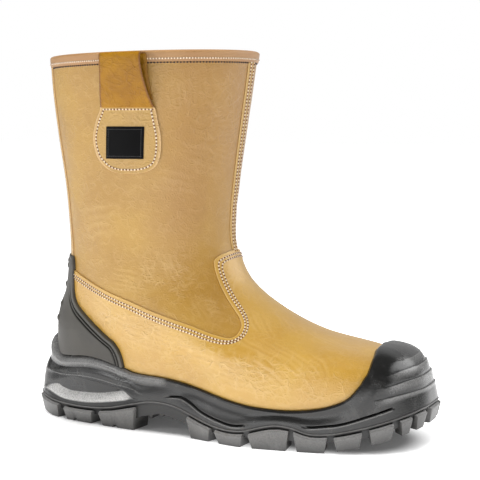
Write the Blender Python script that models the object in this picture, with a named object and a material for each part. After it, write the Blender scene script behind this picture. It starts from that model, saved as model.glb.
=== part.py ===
"""Rigger boot for the right foot, standing on its sole.

Lengths in the tables are millimetres. x runs from the heel to the toe, -y is the outer side,
z is up from the floor. Going round the boot, u is 0 at the back, rises along the outer side,
is 0.5 at the toe and comes back along the inner side. v is 0 at the collar and 1 at the
feather edge, where the upper meets the sole.
"""
import bmesh
import bpy
import numpy as np

MM = 0.001

# Middle of the boot's box on the floor, which becomes the origin
CENTRE_X = 140.74
CENTRE_Y = 0.0

# Leathers, mouldings and the clearance between them
WALL = 1.8          # shaft leather with its lining
LAP = 1.2           # vamp and quarter leather standing over the shaft leather
GAP = 0.3           # clearance between pieces that meet
LIP_EASE = 0.15     # more of it at the sole's lip
CRADLE = 0.7        # more of it below the lip, where the sole cradles the upper
TRIM = 1.0          # seam strips and collar binding
STRAP = 1.6         # pull loop leather
FLOOR_DROP = 0.8    # clearance of the sole's cavity floor below the feather edge
INSOLE_RISE = 0.025  # share of the skin's depth that the insole fills
INSOLE_EASE = 0.5    # more clearance round the insole's edge

SEAM_CALM = 0.05     # reach along u over which the seam line is evened out

BINDING_DEPTH = 6.2
BINDING_CROWN = 1.7
BINDING_SHOULDER = 0.6
FRONT_STRIP_HALF = 4.6

# Stations along a section, as shares of its length from back to front
HEEL_AT = 0.14
WAIST_AT = 0.42
BALL_AT = 0.64
DIP_FROM = 0.36      # where a section starts to sink from the waist to the ball
DIP_EASE = 0.3
DIP_END = 0.35
ARCH_FROM = 0.15     # hollow of the inner side
ARCH_TO = 0.68
ARCH_EASE = 0.25
TOE_IN_FROM = 0.45   # where the toe starts to curve to the inner side

# Spacing of the points round the boot: end u of a stretch, steps in it
UPPER_SPANS = ((0.10, 4), (0.30, 9), (0.385, 6), (0.415, 5), (0.5, 4))
SOLE_SPANS = ((0.05, 5), (0.162, 7), (0.36, 11), (0.43, 6), (0.5, 5))
BINDING_SPANS = ((0.5, 22),)

SECTION_COLUMNS = ("back_x", "back_z", "front_x", "front_z", "heel_half", "waist_half",
                   "ball_half", "back_round", "front_round", "toe_in", "arch", "dip")

# Sections of the last from the collar down to the feather edge
SECTIONS = {
    "collar":   (0.6, 271.4, 160.0, 274.5, 62, 62, 62, 2.0, 2.0, 0, 0, 0),
    "calf":     (2.3, 245.0, 156.0, 246.0, 59, 59, 59, 2.0, 2.0, 0, 0, 0),
    "shin":     (6.2, 212.0, 151.0, 213.0, 55, 55, 55, 2.0, 2.0, 0, 0, 0),
    "leg":      (10.8, 178.0, 146.5, 180.0, 50, 50, 50, 2.0, 2.0, 0, 0, 0),
    "ankle":    (13.0, 150.0, 144.0, 152.0, 45, 47, 46, 2.1, 2.0, 0, 0, 0),
    "throat":   (13.6, 126.0, 146.0, 131.0, 41, 45, 43, 2.2, 2.0, 0, 0, 0),
    "instep":   (12.2, 105.0, 157.5, 108.0, 38, 45, 43, 2.4, 2.0, 0, 0, 0),
    "vamp":     (9.0, 86.0, 183.0, 88.0, 37, 45, 47, 2.5, 2.1, 1, 1, 0),
    "ball":     (7.0, 70.0, 217.0, 72.0, 37, 44, 51, 2.5, 2.3, 3, 2, 0),
    "toe_top":  (6.0, 57.0, 259.0, 62.5, 37, 43, 54, 2.5, 2.6, 5, 3, 1),
    "toe_box":  (6.0, 46.0, 279.0, 55.0, 37, 42, 55, 2.5, 2.8, 6, 4, 4),
    "toe_wall": (7.0, 37.0, 286.0, 42.0, 36, 41, 55, 2.5, 2.9, 6, 5, 7),
    "feather":  (9.0, 28.0, 288.0, 33.5, 35, 39, 53, 2.5, 2.9, 6, 6, 9),
}
SKIN = np.array(list(SECTIONS.values()), float)
LAST_ROW = len(SKIN) - 1

# Outline of the sole at its parting line, in the same columns
SOLE_EDGE = np.array((-15.0, 0, 295.5, 0, 42, 46, 60, 2.5, 2.9, 6, 8, 0), float)

# Upper edge of the vamp and quarters, which lies over the shaft: u, z
SEAM = ((0.0, 118.0), (0.06, 116.5), (0.116, 112.2), (0.173, 105.0), (0.213, 99.5),
        (0.239, 94.8), (0.262, 89.6), (0.285, 85.0), (0.304, 80.6), (0.320, 75.6),
        (0.332, 73.6), (0.345, 74.8), (0.360, 78.0), (0.374, 81.8), (0.385, 86.5),
        (0.391, 91.0), (0.397, 97.5), (0.404, 105.5), (0.409, 114.0), (0.412, 120.5),
        (0.416, 125.0), (0.426, 127.7), (0.444, 129.8), (0.473, 131.4), (0.5, 132.0))

# Top edge of the moulded sole, its scuff cap and the tongue at the back:
# u, z, thickness, outward lean of the wall below it
LIP_COLUMNS = ("u", "z", "thick", "lean")
LIP = ((0.0, 62.8, 10.6, 0.0), (0.02, 61.6, 10.4, 0.0), (0.032, 56.0, 9.6, 0.0), (0.044, 50.0, 7.4, 0.0),
       (0.06, 47.5, 6.2, 0.0), (0.09, 49.0, 5.4, 0.0), (0.115, 50.3, 5.0, 0.0), (0.14, 49.0, 4.8, 0.0),
       (0.166, 44.3, 4.4, 0.0), (0.178, 42.2, 4.0, 0.0), (0.21, 41.0, 3.0, 0.0), (0.234, 37.4, 2.8, 0.0),
       (0.259, 33.0, 2.6, 0.0), (0.282, 30.0, 2.6, 0.0), (0.302, 28.4, 2.6, 0.0), (0.323, 28.2, 2.6, 0.0),
       (0.345, 30.0, 2.6, 0.0), (0.364, 33.6, 2.6, 0.0), (0.38, 38.4, 2.7, 0.05), (0.394, 45.5, 3.0, 0.1),
       (0.406, 51.5, 3.4, 0.15), (0.428, 57.8, 4.4, 0.2), (0.466, 62.0, 5.4, 0.2), (0.5, 63.2, 5.6, 0.2))
LIP_CROWN = 0.002    # rise of the lip's rounded top, along v
LIP_CREST = 0.55     # place of its highest line, as a share of the thickness
CRADLE_TOP = 0.1     # share of the cradle taken by its easing at the lip

# Bend of the sole's wall between lip and parting line
BEND_LIP = 0.45
BEND_PARTING = 0.55
PARTING_RISE = 0.75

# Parting line between midsole and outsole: x, z
PARTING = ((-15, 18.4), (-5, 15.5), (9, 13.6), (34, 13.0), (59, 15.0), (83, 20.6), (98, 23.8), (112, 23.6),
           (124, 20.8), (142, 15.2), (160, 12.0), (176, 12.6), (190, 16.4), (201, 18.4), (212, 17.2),
           (224, 13.8), (238, 14.4), (253, 17.4), (270, 22.0), (286, 27.4), (295.5, 31.0))

# Moulding of the sole's side. Heights are shares of the wall from its lip to the parting line:
# x, rib zone from, rib zone to, lower edge of the lip band, recess top, recess fold, recess low;
# then the depths of the band step and of the recess
SIDE_COLUMNS = ("x", "rib_from", "rib_to", "band", "top", "fold", "low", "band_deep", "deep")
SIDE = ((-15, 0.10, 0.30, 0.62, 0.74, 0.80, 0.86, 0.8, 0.0),
        (-4, 0.10, 0.28, 0.44, 0.60, 0.72, 0.80, 1.2, 1.2),
        (12, 0.08, 0.22, 0.32, 0.46, 0.72, 0.88, 1.5, 2.8),
        (34, 0.08, 0.20, 0.32, 0.46, 0.74, 0.90, 1.5, 3.2),
        (58, 0.08, 0.22, 0.36, 0.52, 0.66, 0.88, 1.3, 2.6),
        (76, 0.10, 0.28, 0.48, 0.66, 0.74, 0.84, 0.8, 0.8),
        (88, 0.10, 0.30, 0.62, 0.72, 0.77, 0.82, 0.2, 0.0),
        (108, 0.12, 0.36, 0.56, 0.66, 0.72, 0.78, 0.0, 0.0),
        (116, 0.12, 0.32, 0.50, 0.58, 0.66, 0.74, 0.0, 1.3),
        (140, 0.14, 0.34, 0.52, 0.64, 0.74, 0.82, 0.0, 1.5),
        (164, 0.14, 0.38, 0.60, 0.74, 0.83, 0.90, 0.0, 1.4),
        (178, 0.14, 0.38, 0.60, 0.74, 0.81, 0.87, 0.0, 0.0),
        (214, 0.14, 0.38, 0.60, 0.74, 0.81, 0.87, 0.0, 0.0),
        (226, 0.14, 0.38, 0.60, 0.74, 0.80, 0.86, 0.0, 1.3),
        (250, 0.14, 0.44, 0.60, 0.72, 0.78, 0.84, 0.0, 1.4),
        (268, 0.18, 0.66, 0.72, 0.79, 0.84, 0.89, 0.0, 1.2),
        (278, 0.22, 0.74, 0.80, 0.86, 0.90, 0.93, 0.0, 0.0),
        (295.5, 0.30, 0.80, 0.86, 0.90, 0.93, 0.96, 0.0, 0.0))

BAND_STEP = 0.02     # share of the wall taken by the step below the lip band
LOW_SHARE = 0.3      # share of the band step left at the foot of the recess

# Shingle ribs across the scuff cap, fading away from the toe
RIB_COUNT = 4
RIB_RISE = 1.0
RIB_DEEP = 0.8
RIB_STEP = 0.12      # share of a rib taken by its drop
RIB_FADE_FROM = 0.39
RIB_FADE_TO = 0.44

# Bottom of the tread: x, z
TREAD = ((-17, 5.0), (-7, 1.6), (3, 0.0), (232, 0.0), (245, 2.0), (258, 4.6), (272, 8.4), (284, 12.6),
         (296, 17.0))

# Underside of the outsole between the lugs: x, z
UNDER = ((-17, 10.5), (3, 7.0), (80, 7.0), (90, 11.0), (106, 14.5), (122, 11.0), (134, 7.0),
         (232, 7.0), (258, 10.5), (284, 19.0), (296, 23.0))

# Lugs round the edge, the same on both sides: u from, u to, drop of the top edge below the parting line
LUGS = ((0.030, 0.0945, 2.6), (0.1055, 0.146, 3.4), (0.1545, 0.1925, 3.4), (0.239, 0.260, 3.2),
        (0.2645, 0.288, 2.8), (0.2925, 0.324, 3.2), (0.328, 0.356, 2.6), (0.362, 0.3885, 3.2),
        (0.396, 0.424, 3.0), (0.4335, 0.450, 2.8), (0.458, 0.478, 2.6))
TOE_LUG = (0.4895, 0.5105, 2.4)      # the one in the middle of the toe
LUG_PROUD = 2.0      # stands out from the sole's side
LUG_BEVEL = 1.0
LUG_BEVEL_DROP = 1.4
LUG_SEAT = 4.0       # depth and fall of its top inside the slab
LUG_SEAT_FALL = 0.8
LUG_ROOT = 1.6       # height of its back inside the slab
LUG_FOOT_IN = 0.4    # lower edge inside the sole's outline
LUG_FOOT_SLOPE = 2.0
LUG_DRAFT = 0.0025
LUG_LONG = 0.03      # longer lugs follow the outline in two steps
LUG_REACH = 21.0     # length towards the middle, and round the toe and heel
LUG_REACH_END = 13.0
LUG_HEEL_END = 0.1
LUG_TOE_END = 0.38

# Edge of the slab from its top down: outward place, drop below the parting line
SLAB_EDGE = ((0.0, GAP), (0.7, 1.3), (-0.8, 2.4))
SLAB_UNDERCUT = 2.6

# Cleats across the middle of the tread: x, half width, half length
CLEATS = ((22, 10, 6), (46, 13, 6), (68, 14, 6), (98, 30, 3), (108, 30, 3), (118, 30, 3), (148, 20, 6),
          (170, 25, 6), (192, 28, 6), (214, 26, 6), (236, 20, 5), (256, 13, 5))
CLEAT_DRAFT = 1.5
CLEAT_ROOT = 1.2
WAIST_CLEAR = 9.0    # where the slab is higher than this, under the waist, cleats are low ribs
WAIST_CLEAT = 3.5

# Heel counter: share of its height down from the top, u of its front edge,
# height of its outer face over the skin at the edge and along the back
COUNTER_COLUMNS = ("down", "edge_u", "edge_lift", "back_lift")
COUNTER_ROWS = ((0.0, 0.118, 1.5, 1.5), (0.05, 0.125, 2.6, 2.3), (0.25, 0.122, 3.4, 2.7),
                (0.34, 0.126, 3.6, 3.2), (0.41, 0.134, 3.8, 4.2), (0.48, 0.149, 3.9, 5.4),
                (0.55, 0.164, 4.0, 6.4), (0.63, 0.170, 4.0, 7.0), (1.0, 0.162, 4.0, 6.6))
COUNTER_PLACES = (0.0, 0.02, 0.03, 0.04, 0.05, 0.066, 0.082, 0.098, 0.114, 0.130, 0.146, 0.162)
COUNTER_SEAT = 0.003  # clearance above the lip, along v
COUNTER_TOP = 125.5   # height at the back, falling along the sides by the slope times u squared
COUNTER_SLOPE = 130.0

# Pull loop, from the foot of its tab up the front, over the fold and down behind:
# z, stand-off from the shaft, edge towards the heel, edge towards the toe, flatness across
LOOP_COLUMNS = ("z", "stand", "heel_edge", "toe_edge", "flat")
LOOP = ((188.8, 1.1, 80.0, 92.0, 0.0), (190.4, 1.1, 73.0, 99.5, 0.0), (194.5, 1.1, 66.5, 106.0, 0.0),
        (202.0, 1.1, 61.5, 111.0, 0.0), (214.0, 1.1, 60.0, 113.0, 0.0), (226.0, 1.1, 63.5, 111.0, 0.0),
        (234.0, 1.2, 67.0, 108.6, 0.0), (240.0, 3.8, 69.0, 107.8, 0.3), (250.6, 7.8, 71.8, 107.2, 0.8),
        (261.6, 11.0, 74.2, 106.8, 1.0), (269.4, 12.0, 74.8, 106.6, 1.0), (273.2, 10.6, 74.8, 106.6, 0.9),
        (274.5, 7.4, 74.8, 106.4, 0.6), (273.0, 4.2, 74.4, 106.0, 0.2), (268.2, 2.8, 74.2, 105.6, 0.0),
        (259.4, 2.7, 73.8, 105.6, 0.0), (248.6, 1.6, 72.0, 106.4, 0.0), (241.0, 1.1, 70.0, 107.4, 0.0))
LABEL = (70.8, 99.2, 199.6, 222.4)
LABEL_THICK = 0.8

COLOURS = {
    "upper": ((0.64, 0.38, 0.11), 0.55), "collar_binding": ((0.62, 0.40, 0.18), 0.55),
    "front_strip": ((0.64, 0.38, 0.12), 0.55),
    "pull_loop_outer": ((0.48, 0.26, 0.05), 0.5), "pull_loop_inner": ((0.48, 0.26, 0.05), 0.5),
    "label_patch": ((0.012, 0.012, 0.013), 0.85), "heel_counter": ((0.062, 0.057, 0.048), 0.6),
    "midsole": ((0.035, 0.034, 0.032), 0.5), "outsole": ((0.055, 0.054, 0.052), 0.6),
    "insole": ((0.05, 0.05, 0.055), 0.9),
}


def ease(t):
    t = np.clip(t, 0.0, 1.0)
    return t * t * (3.0 - 2.0 * t)


def smooth_rows(table, t):
    """Smooth curve through the rows of a table, at row numbers t."""
    table = np.asarray(table, float)
    t = np.clip(np.asarray(t, float), 0, len(table) - 1)
    low = np.minimum(t.astype(int), len(table) - 2)
    f = (t - low)[..., None]
    ends = np.vstack([2 * table[0] - table[1], table, 2 * table[-1] - table[-2]])
    a, b, c, d = (ends[low + k] for k in range(4))
    return b + 0.5 * f * (c - a + f * (2 * a - 5 * b + 4 * c - d + f * (3 * (b - c) + d - a)))


def line_value(table, at):
    """Second column of a table along straight lines, where the first column equals at."""
    return np.interp(at, *np.array(table, float).T)


def curve_value(table, at, column=1):
    """Column of a table read along its smooth curve where the first column equals at."""
    fine = smooth_rows(table, np.linspace(0, len(table) - 1, 40 * len(table)))
    return np.interp(at, fine[:, 0], fine[:, column])


def outer_half(u):
    """u folded onto the outer side, because both sides share most tables."""
    u = np.asarray(u, float) % 1.0
    return np.minimum(u, 1.0 - u)


def section_points(columns, u):
    """Points of a section of the last, or of the sole, at places u round it."""
    (back_x, back_z, front_x, front_z, heel_half, waist_half, ball_half,
     back_round, front_round, toe_in, arch, dip) = (columns[..., k] for k in range(len(SECTION_COLUMNS)))
    turn = np.cos(2 * np.pi * u)
    along = (1 - turn) / 2
    power = np.where(along < 0.5, back_round, front_round)
    end = (1 - np.abs(turn) ** power) ** (1 / power)
    half = np.where(along < WAIST_AT,
                    heel_half + (waist_half - heel_half) * ease((along - HEEL_AT) / (WAIST_AT - HEEL_AT)),
                    waist_half + (ball_half - waist_half) * ease((along - WAIST_AT) / (BALL_AT - WAIST_AT)))
    outer = np.sin(2 * np.pi * u) > 0
    hollow = arch * ease((along - ARCH_FROM) / ARCH_EASE) * ease((ARCH_TO - along) / ARCH_EASE)
    y = np.where(outer, -half * end, half * end - hollow)
    y += toe_in * ease((along - TOE_IN_FROM) / (1 - TOE_IN_FROM))
    z = back_z + (front_z - back_z) * along
    z -= dip * ease((along - DIP_FROM) / DIP_EASE) * ease((1 - along) / DIP_END)
    return np.stack([back_x + (front_x - back_x) * along, y, z], -1)


def skin_base(u, v):
    return section_points(smooth_rows(SKIN, np.asarray(v) * LAST_ROW), np.asarray(u) % 1.0)


def skin(u, v, lift=0.0):
    """Points of the upper's outer face, lifted off it along its normal."""
    u, v, lift = np.broadcast_arrays(np.asarray(u, float), np.asarray(v, float), np.asarray(lift, float))
    small = 1e-3
    along = skin_base(u + small, v) - skin_base(u - small, v)
    down = skin_base(u, np.minimum(v + small, 1)) - skin_base(u, np.maximum(v - small, 0))
    normal = np.cross(down, along)
    normal /= np.linalg.norm(normal, axis=-1, keepdims=True)
    return skin_base(u, v) + normal * lift[..., None]


def v_at_height(u, z):
    """v on the skin at height z, by halving."""
    u, z = np.broadcast_arrays(np.asarray(u, float), np.asarray(z, float))
    low, high = np.zeros_like(z), np.ones_like(z)
    for _ in range(40):
        middle = (low + high) / 2
        above = skin_base(u, middle)[..., 2] > z
        low, high = np.where(above, middle, low), np.where(above, high, middle)
    return (low + high) / 2


def uv_at_side(x, z, outer=True):
    """u and v of the skin point seen at x, z from the side."""
    x, z = np.broadcast_arrays(np.asarray(x, float), np.asarray(z, float))
    low, high = np.zeros_like(z), np.ones_like(z)
    for _ in range(40):
        v = (low + high) / 2
        rows = smooth_rows(SKIN, v * LAST_ROW)
        along = np.clip((x - rows[..., 0]) / (rows[..., 2] - rows[..., 0]), 0, 1)
        u = np.arccos(1 - 2 * along) / (2 * np.pi)
        above = skin_base(u, v)[..., 2] > z
        low, high = np.where(above, v, low), np.where(above, high, v)
    return (u if outer else 1 - u), v


def seam_v(u):
    side = outer_half(u)
    return v_at_height(side, curve_value(SEAM, side))


def lip_value(u, column):
    return curve_value(LIP, outer_half(u), LIP_COLUMNS.index(column))


def lip_v(u):
    return v_at_height(outer_half(u), lip_value(u, "z"))


def places(spans):
    """Places round the boot: spans of (end u, steps) along the outer side, mirrored."""
    start, half = 0.0, [0.0]
    for end, steps in spans:
        half.extend(np.linspace(start, end, steps + 1)[1:])
        start = end
    half = np.array(half)
    return np.concatenate([half, 1.0 - half[-2:0:-1]])


def make_object(name, points, faces):
    mesh = bpy.data.meshes.new(name)
    shifted = (np.asarray(points, float).reshape(-1, 3) - (CENTRE_X, CENTRE_Y, 0.0)) * MM
    mesh.from_pydata(shifted.tolist(), [], [list(map(int, face)) for face in faces])
    work = bmesh.new()
    work.from_mesh(mesh)
    bmesh.ops.recalc_face_normals(work, faces=work.faces)
    work.to_mesh(mesh)
    work.free()
    thing = bpy.data.objects.new(name, mesh)
    bpy.context.scene.collection.objects.link(thing)
    return thing


def split_quads(thing):
    """Quads cut along their shorter diagonal, which keeps slanting rows smooth."""
    work = bmesh.new()
    work.from_mesh(thing.data)
    bmesh.ops.triangulate(work, faces=work.faces, quad_method="SHORT_EDGE")
    work.to_mesh(thing.data)
    work.free()
    return thing


def finish(thing):
    """Colour and smooth shading of one piece."""
    colour, roughness = COLOURS[thing.name]
    material = bpy.data.materials.new(thing.name)
    material.use_nodes = True
    shader = material.node_tree.nodes["Principled BSDF"]
    shader.inputs["Base Color"].default_value = (*colour, 1.0)
    shader.inputs["Roughness"].default_value = roughness
    thing.data.materials.append(material)
    thing.data.shade_smooth()
    thing.data.set_sharp_from_angle(angle=np.radians(35))


def strip_faces(rows, count, closed_rows):
    """Quads between rows of points that each go round the boot."""
    faces = []
    for row in range(rows if closed_rows else rows - 1):
        below = (row + 1) % rows
        for k in range(count):
            after = (k + 1) % count
            faces.append((row * count + k, below * count + k, below * count + after, row * count + after))
    return faces


def ladder_faces(first, count, upward):
    """Cap over one row of points: rungs between the outer and the inner side."""
    half = count // 2
    faces = []
    for k in range(half):
        ring = [k, k + 1, (count - k - 1) % count, (count - k) % count]
        ring = [first + p for p in dict.fromkeys(ring)]
        faces.append(ring if upward else ring[::-1])
    return faces


def ring_solid(name, rows):
    """Hollow solid: rows go round the boot, and down the outside and up the inside."""
    rows = np.asarray(rows)
    return make_object(name, rows, strip_faces(len(rows), rows.shape[1], True))


def capped_solid(name, rows):
    """Solid with its first row facing up and its last row facing down, both capped."""
    rows = np.asarray(rows)
    count = rows.shape[1]
    faces = strip_faces(len(rows), count, False)
    faces += ladder_faces(0, count, True) + ladder_faces((len(rows) - 1) * count, count, False)
    return make_object(name, rows, faces)


def sheet_solid(name, under, over):
    """Solid between two grids of points of the same size; over is the outer face."""
    rows, count = over.shape[:2]
    total = rows * count
    faces = []
    for i in range(rows - 1):
        for j in range(count - 1):
            quad = (i * count + j, (i + 1) * count + j, (i + 1) * count + j + 1, i * count + j + 1)
            faces.append(quad)
            faces.append(tuple(total + p for p in quad[::-1]))
    rim = [j for j in range(count)] + [i * count + count - 1 for i in range(1, rows)]
    rim += [(rows - 1) * count + j for j in range(count - 2, -1, -1)]
    rim += [i * count for i in range(rows - 2, 0, -1)]
    for a, b in zip(rim, rim[1:] + rim[:1]):
        faces.append((a, b, total + b, total + a))
    return make_object(name, np.concatenate([over.reshape(-1, 3), under.reshape(-1, 3)]), faces)


def calm_seam_v(u):
    """Seam line evened out along the boot, which the rows far from the seam follow."""
    return np.mean([seam_v(u + shift) for shift in np.linspace(-SEAM_CALM, SEAM_CALM, 9)], axis=0)


def rows_above(u, steps):
    """Rows of v from the collar down to the seam."""
    seam, calm = seam_v(u), calm_seam_v(u)
    return [f * (calm + (seam - calm) * f ** 2) for f in np.linspace(0, 1, steps + 1)]


def rows_below(u, steps):
    """Rows of v from the seam down to the feather edge."""
    seam, calm = seam_v(u), calm_seam_v(u)
    return [1 - f * (1 - calm + (calm - seam) * f ** 2) for f in np.linspace(1, 0, steps + 1)]


def make_upper():
    u = places(UPPER_SPANS)
    outside = [skin(u, v) for v in rows_above(u, 7)] + [skin(u, v, LAP) for v in rows_below(u, 11)]
    inside = [skin(u, v, -WALL) for v in rows_above(u, 5) + rows_below(u, 8)[1:]]
    return split_quads(ring_solid("upper", outside + inside[::-1]))


def make_binding():
    u = places(BINDING_SPANS)
    foot = v_at_height(u, skin_base(u, 0.0)[..., 2] - BINDING_DEPTH)
    rise = np.array((0.0, 0.0, 1.0))
    outer, inner = GAP, -WALL - GAP
    crown = [skin(u, 0.0, -WALL / 2 + side * (WALL / 2 + GAP + TRIM)) + rise * height
             for side, height in ((-1, -BINDING_SHOULDER), (0, BINDING_CROWN), (1, -BINDING_SHOULDER))]
    profile = [skin(u, foot, outer), skin(u, 0.0, outer) + rise * GAP, skin(u, 0.0, inner) + rise * GAP,
               skin(u, foot, inner), skin(u, foot, inner - TRIM), *crown, skin(u, foot, outer + TRIM)]
    return ring_solid("collar_binding", profile)


def make_front_strip():
    """Narrow strip of leather over the shaft's front seam."""
    u = 0.5 + np.linspace(-1, 1, 3) * FRONT_STRIP_HALF / (2 * np.pi * SKIN[2, 6])
    fall = np.linspace(0, 1, 9)[:, None]
    top = v_at_height(u, skin_base(u, 0.0)[..., 2] - BINDING_DEPTH - GAP)
    foot = v_at_height(u, skin_base(u, seam_v(u))[..., 2] + GAP)
    v = top * (1 - fall) + foot * fall
    return sheet_solid("front_strip", skin(u[None, :], v, GAP), skin(u[None, :], v, GAP + TRIM))


def make_counter():
    row = dict(zip(COUNTER_COLUMNS, np.array(COUNTER_ROWS).T[..., None]))
    half = np.array(COUNTER_PLACES) / COUNTER_PLACES[-1]
    side = np.concatenate([-half[:0:-1], half])[None, :]
    u = side * row["edge_u"]
    top = v_at_height(u, COUNTER_TOP - COUNTER_SLOPE * u ** 2)
    foot = lip_v(u) - LIP_CROWN - COUNTER_SEAT
    v = top + (foot - top) * row["down"]
    under = GAP + np.where(row["down"] > 0, LAP, 0.0)
    face = row["edge_lift"] * side ** 2 + row["back_lift"] * (1 - side ** 2)
    return split_quads(sheet_solid("heel_counter", skin(u, v, under), skin(u, v, face)))


def make_loop(name, outer):
    """Strap folded over and sewn down as a pear-shaped tab, one grid along its middle layer."""
    row = dict(zip(LOOP_COLUMNS, np.array(LOOP).T[..., None]))
    across = np.linspace(0, 1, 6)[None, :]
    x = row["heel_edge"] * (1 - across) + row["toe_edge"] * across
    u, v = uv_at_side(x, row["z"], outer)
    out = np.array((0.0, -1.0 if outer else 1.0, 0.0))
    seat = row["stand"][0]
    middle = skin(u, v, seat) + (row["stand"] - seat)[..., None] * out
    reach = middle @ out
    middle += (row["flat"] * (reach.max(axis=1, keepdims=True) - reach))[..., None] * out
    path = np.gradient(middle, axis=0)
    side = np.gradient(middle, axis=1)
    normal = np.cross(side, path)
    normal *= STRAP / 2 / np.linalg.norm(normal, axis=-1, keepdims=True) * (1 if outer else -1)
    over, under = middle + normal, middle - normal
    return sheet_solid(name, under, over)


def make_label():
    x_from, x_to, z_from, z_to = LABEL
    x, z = np.meshgrid(np.linspace(x_from, x_to, 5), np.linspace(z_to, z_from, 3))
    u, v = uv_at_side(x, z)
    face = LOOP[0][LOOP_COLUMNS.index("stand")] + STRAP / 2 + GAP
    return sheet_solid("label_patch", skin(u, v, face), skin(u, v, face + LABEL_THICK))


def sole_edge(u, grow=0.0):
    """Outline of the sole at the parting line, moved outwards by grow."""
    small = 1e-3
    edge, ahead, behind = (section_points(SOLE_EDGE + 0 * u[..., None], (u + d) % 1.0)
                           for d in (0.0, small, -small))
    run = (ahead - behind)[..., :2]
    run /= np.linalg.norm(run, axis=-1, keepdims=True)
    edge[..., 0] += run[..., 1] * grow
    edge[..., 1] -= run[..., 0] * grow
    return edge


def parting_points(u, grow=0.0, drop=0.0):
    points = sole_edge(u, grow)
    points[..., 2] = curve_value(PARTING, sole_edge(u)[..., 0]) - drop
    return points


def unit(vectors):
    return vectors / np.linalg.norm(vectors, axis=-1, keepdims=True)


def side_wall(u, share):
    """Smooth wall of the sole from its lip (share 0) to the parting line (share 1)."""
    top_v = lip_v(u)
    head = skin(u, top_v, LAP + GAP + lip_value(u, "thick"))
    foot = parting_points(u)
    fall = unit(skin(u, np.minimum(top_v + 0.01, 1)) - skin(u, top_v))
    fall = unit(fall + lip_value(u, "lean")[..., None] * (skin(u, top_v, 1.0) - skin(u, top_v)))
    chord = foot - head
    length = np.linalg.norm(chord, axis=-1, keepdims=True)
    rise = unit(PARTING_RISE * np.array((0.0, 0.0, 1.0)) - (1 - PARTING_RISE) * chord / length)
    first = head + fall * length * BEND_LIP
    second = foot + rise * length * BEND_PARTING
    share = share[..., None]
    rest = 1 - share
    upper_half = rest ** 3 * head + 3 * rest ** 2 * share * first
    return upper_half + 3 * rest * share ** 2 * second + share ** 3 * foot


def wall_point(u, share, sink):
    """Point of the sole's wall, sunk below its smooth face."""
    small = 0.01
    face = side_wall(u, share)
    down = side_wall(u, np.minimum(share + small, 1)) - side_wall(u, np.maximum(share - small, 0))
    along = side_wall(u + 1e-3, share) - side_wall(u - 1e-3, share)
    return face - unit(np.cross(down, along)) * sink[..., None]


def make_midsole():
    u = places(SOLE_SPANS)
    station = {name: curve_value(SIDE, sole_edge(u)[..., 0], k) for k, name in enumerate(SIDE_COLUMNS)}
    top_v = lip_v(u)
    inner = LAP + GAP
    rows = [skin(u, top_v + (1 - top_v) * f, inner + CRADLE) for f in np.linspace(1, CRADLE_TOP, 6)]
    rows[0][..., 2] = skin_base(u, 1.0)[..., 2] - FLOOR_DROP
    rows.append(skin(u, top_v, inner + LIP_EASE))
    rows.append(skin(u, top_v - LIP_CROWN, inner + LIP_CREST * lip_value(u, "thick")))
    fade = ease((outer_half(u) - RIB_FADE_FROM) / (RIB_FADE_TO - RIB_FADE_FROM))
    rows.append(wall_point(u, 0 * u, 0 * u))
    for rib in range(RIB_COUNT):
        for part, sink in ((0.0, -RIB_RISE), (RIB_STEP, RIB_DEEP)):
            place = (rib + part) / (RIB_COUNT - 1 + RIB_STEP)
            share = station["rib_from"] + (station["rib_to"] - station["rib_from"]) * place
            rows.append(wall_point(u, share, sink * fade))
    rows.append(wall_point(u, station["band"], 0 * u))
    rows.append(wall_point(u, station["band"] + BAND_STEP, station["band_deep"]))
    rows.append(wall_point(u, station["top"], station["band_deep"]))
    rows.append(wall_point(u, station["fold"], station["band_deep"] + station["deep"]))
    rows.append(wall_point(u, station["low"], LOW_SHARE * station["band_deep"]))
    rows.append(parting_points(u))
    return capped_solid("midsole", rows)


def make_insole():
    u = places(UPPER_SPANS)
    edge = -WALL - GAP - INSOLE_EASE
    return capped_solid("insole", [skin(u, 1 - INSOLE_RISE, edge), skin(u, 1.0, edge)])


def make_slab():
    u = places(SOLE_SPANS)
    under = sole_edge(u, -SLAB_UNDERCUT)
    under[..., 2] = line_value(UNDER, under[..., 0])
    return capped_solid("outsole", [parting_points(u, grow, drop) for grow, drop in SLAB_EDGE] + [under])


def prism(sections):
    """Points and faces of a closed solid through a few like polygons."""
    sections = np.asarray(sections)
    count = sections.shape[1]
    faces = strip_faces(len(sections), count, False)
    faces += [tuple(range(count))[::-1], tuple((len(sections) - 1) * count + k for k in range(count))]
    return sections.reshape(-1, 3), faces


def lug(u_from, u_to, drop):
    """One block of the tread's edge: proud of the side, narrower at the floor."""
    sections = []
    middle = outer_half((u_from + u_to) / 2)
    reach = LUG_REACH if LUG_HEEL_END < middle < LUG_TOE_END else LUG_REACH_END
    for share in np.linspace(0, 1, 3 if u_to - u_from > LUG_LONG else 2):
        top = np.array(u_from + (u_to - u_from) * share)
        foot = np.array(u_from + LUG_DRAFT + (u_to - u_from - 2 * LUG_DRAFT) * share)
        crest = parting_points(top)[2] - drop
        level = line_value(TREAD, sole_edge(foot)[0])
        root = line_value(UNDER, sole_edge(foot)[0]) + LUG_ROOT
        corners = ((top, -LUG_SEAT, crest - LUG_SEAT_FALL), (top, LUG_PROUD - LUG_BEVEL, crest),
                   (top, LUG_PROUD, crest - LUG_BEVEL_DROP), (foot, -LUG_FOOT_IN, level),
                   (foot, LUG_FOOT_SLOPE - reach, level), (foot, -reach, root))
        ring = []
        for place, grow, z in corners:
            point = sole_edge(place, grow)
            point[2] = z
            ring.append(point)
        sections.append(ring)
    return prism(sections)


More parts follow.
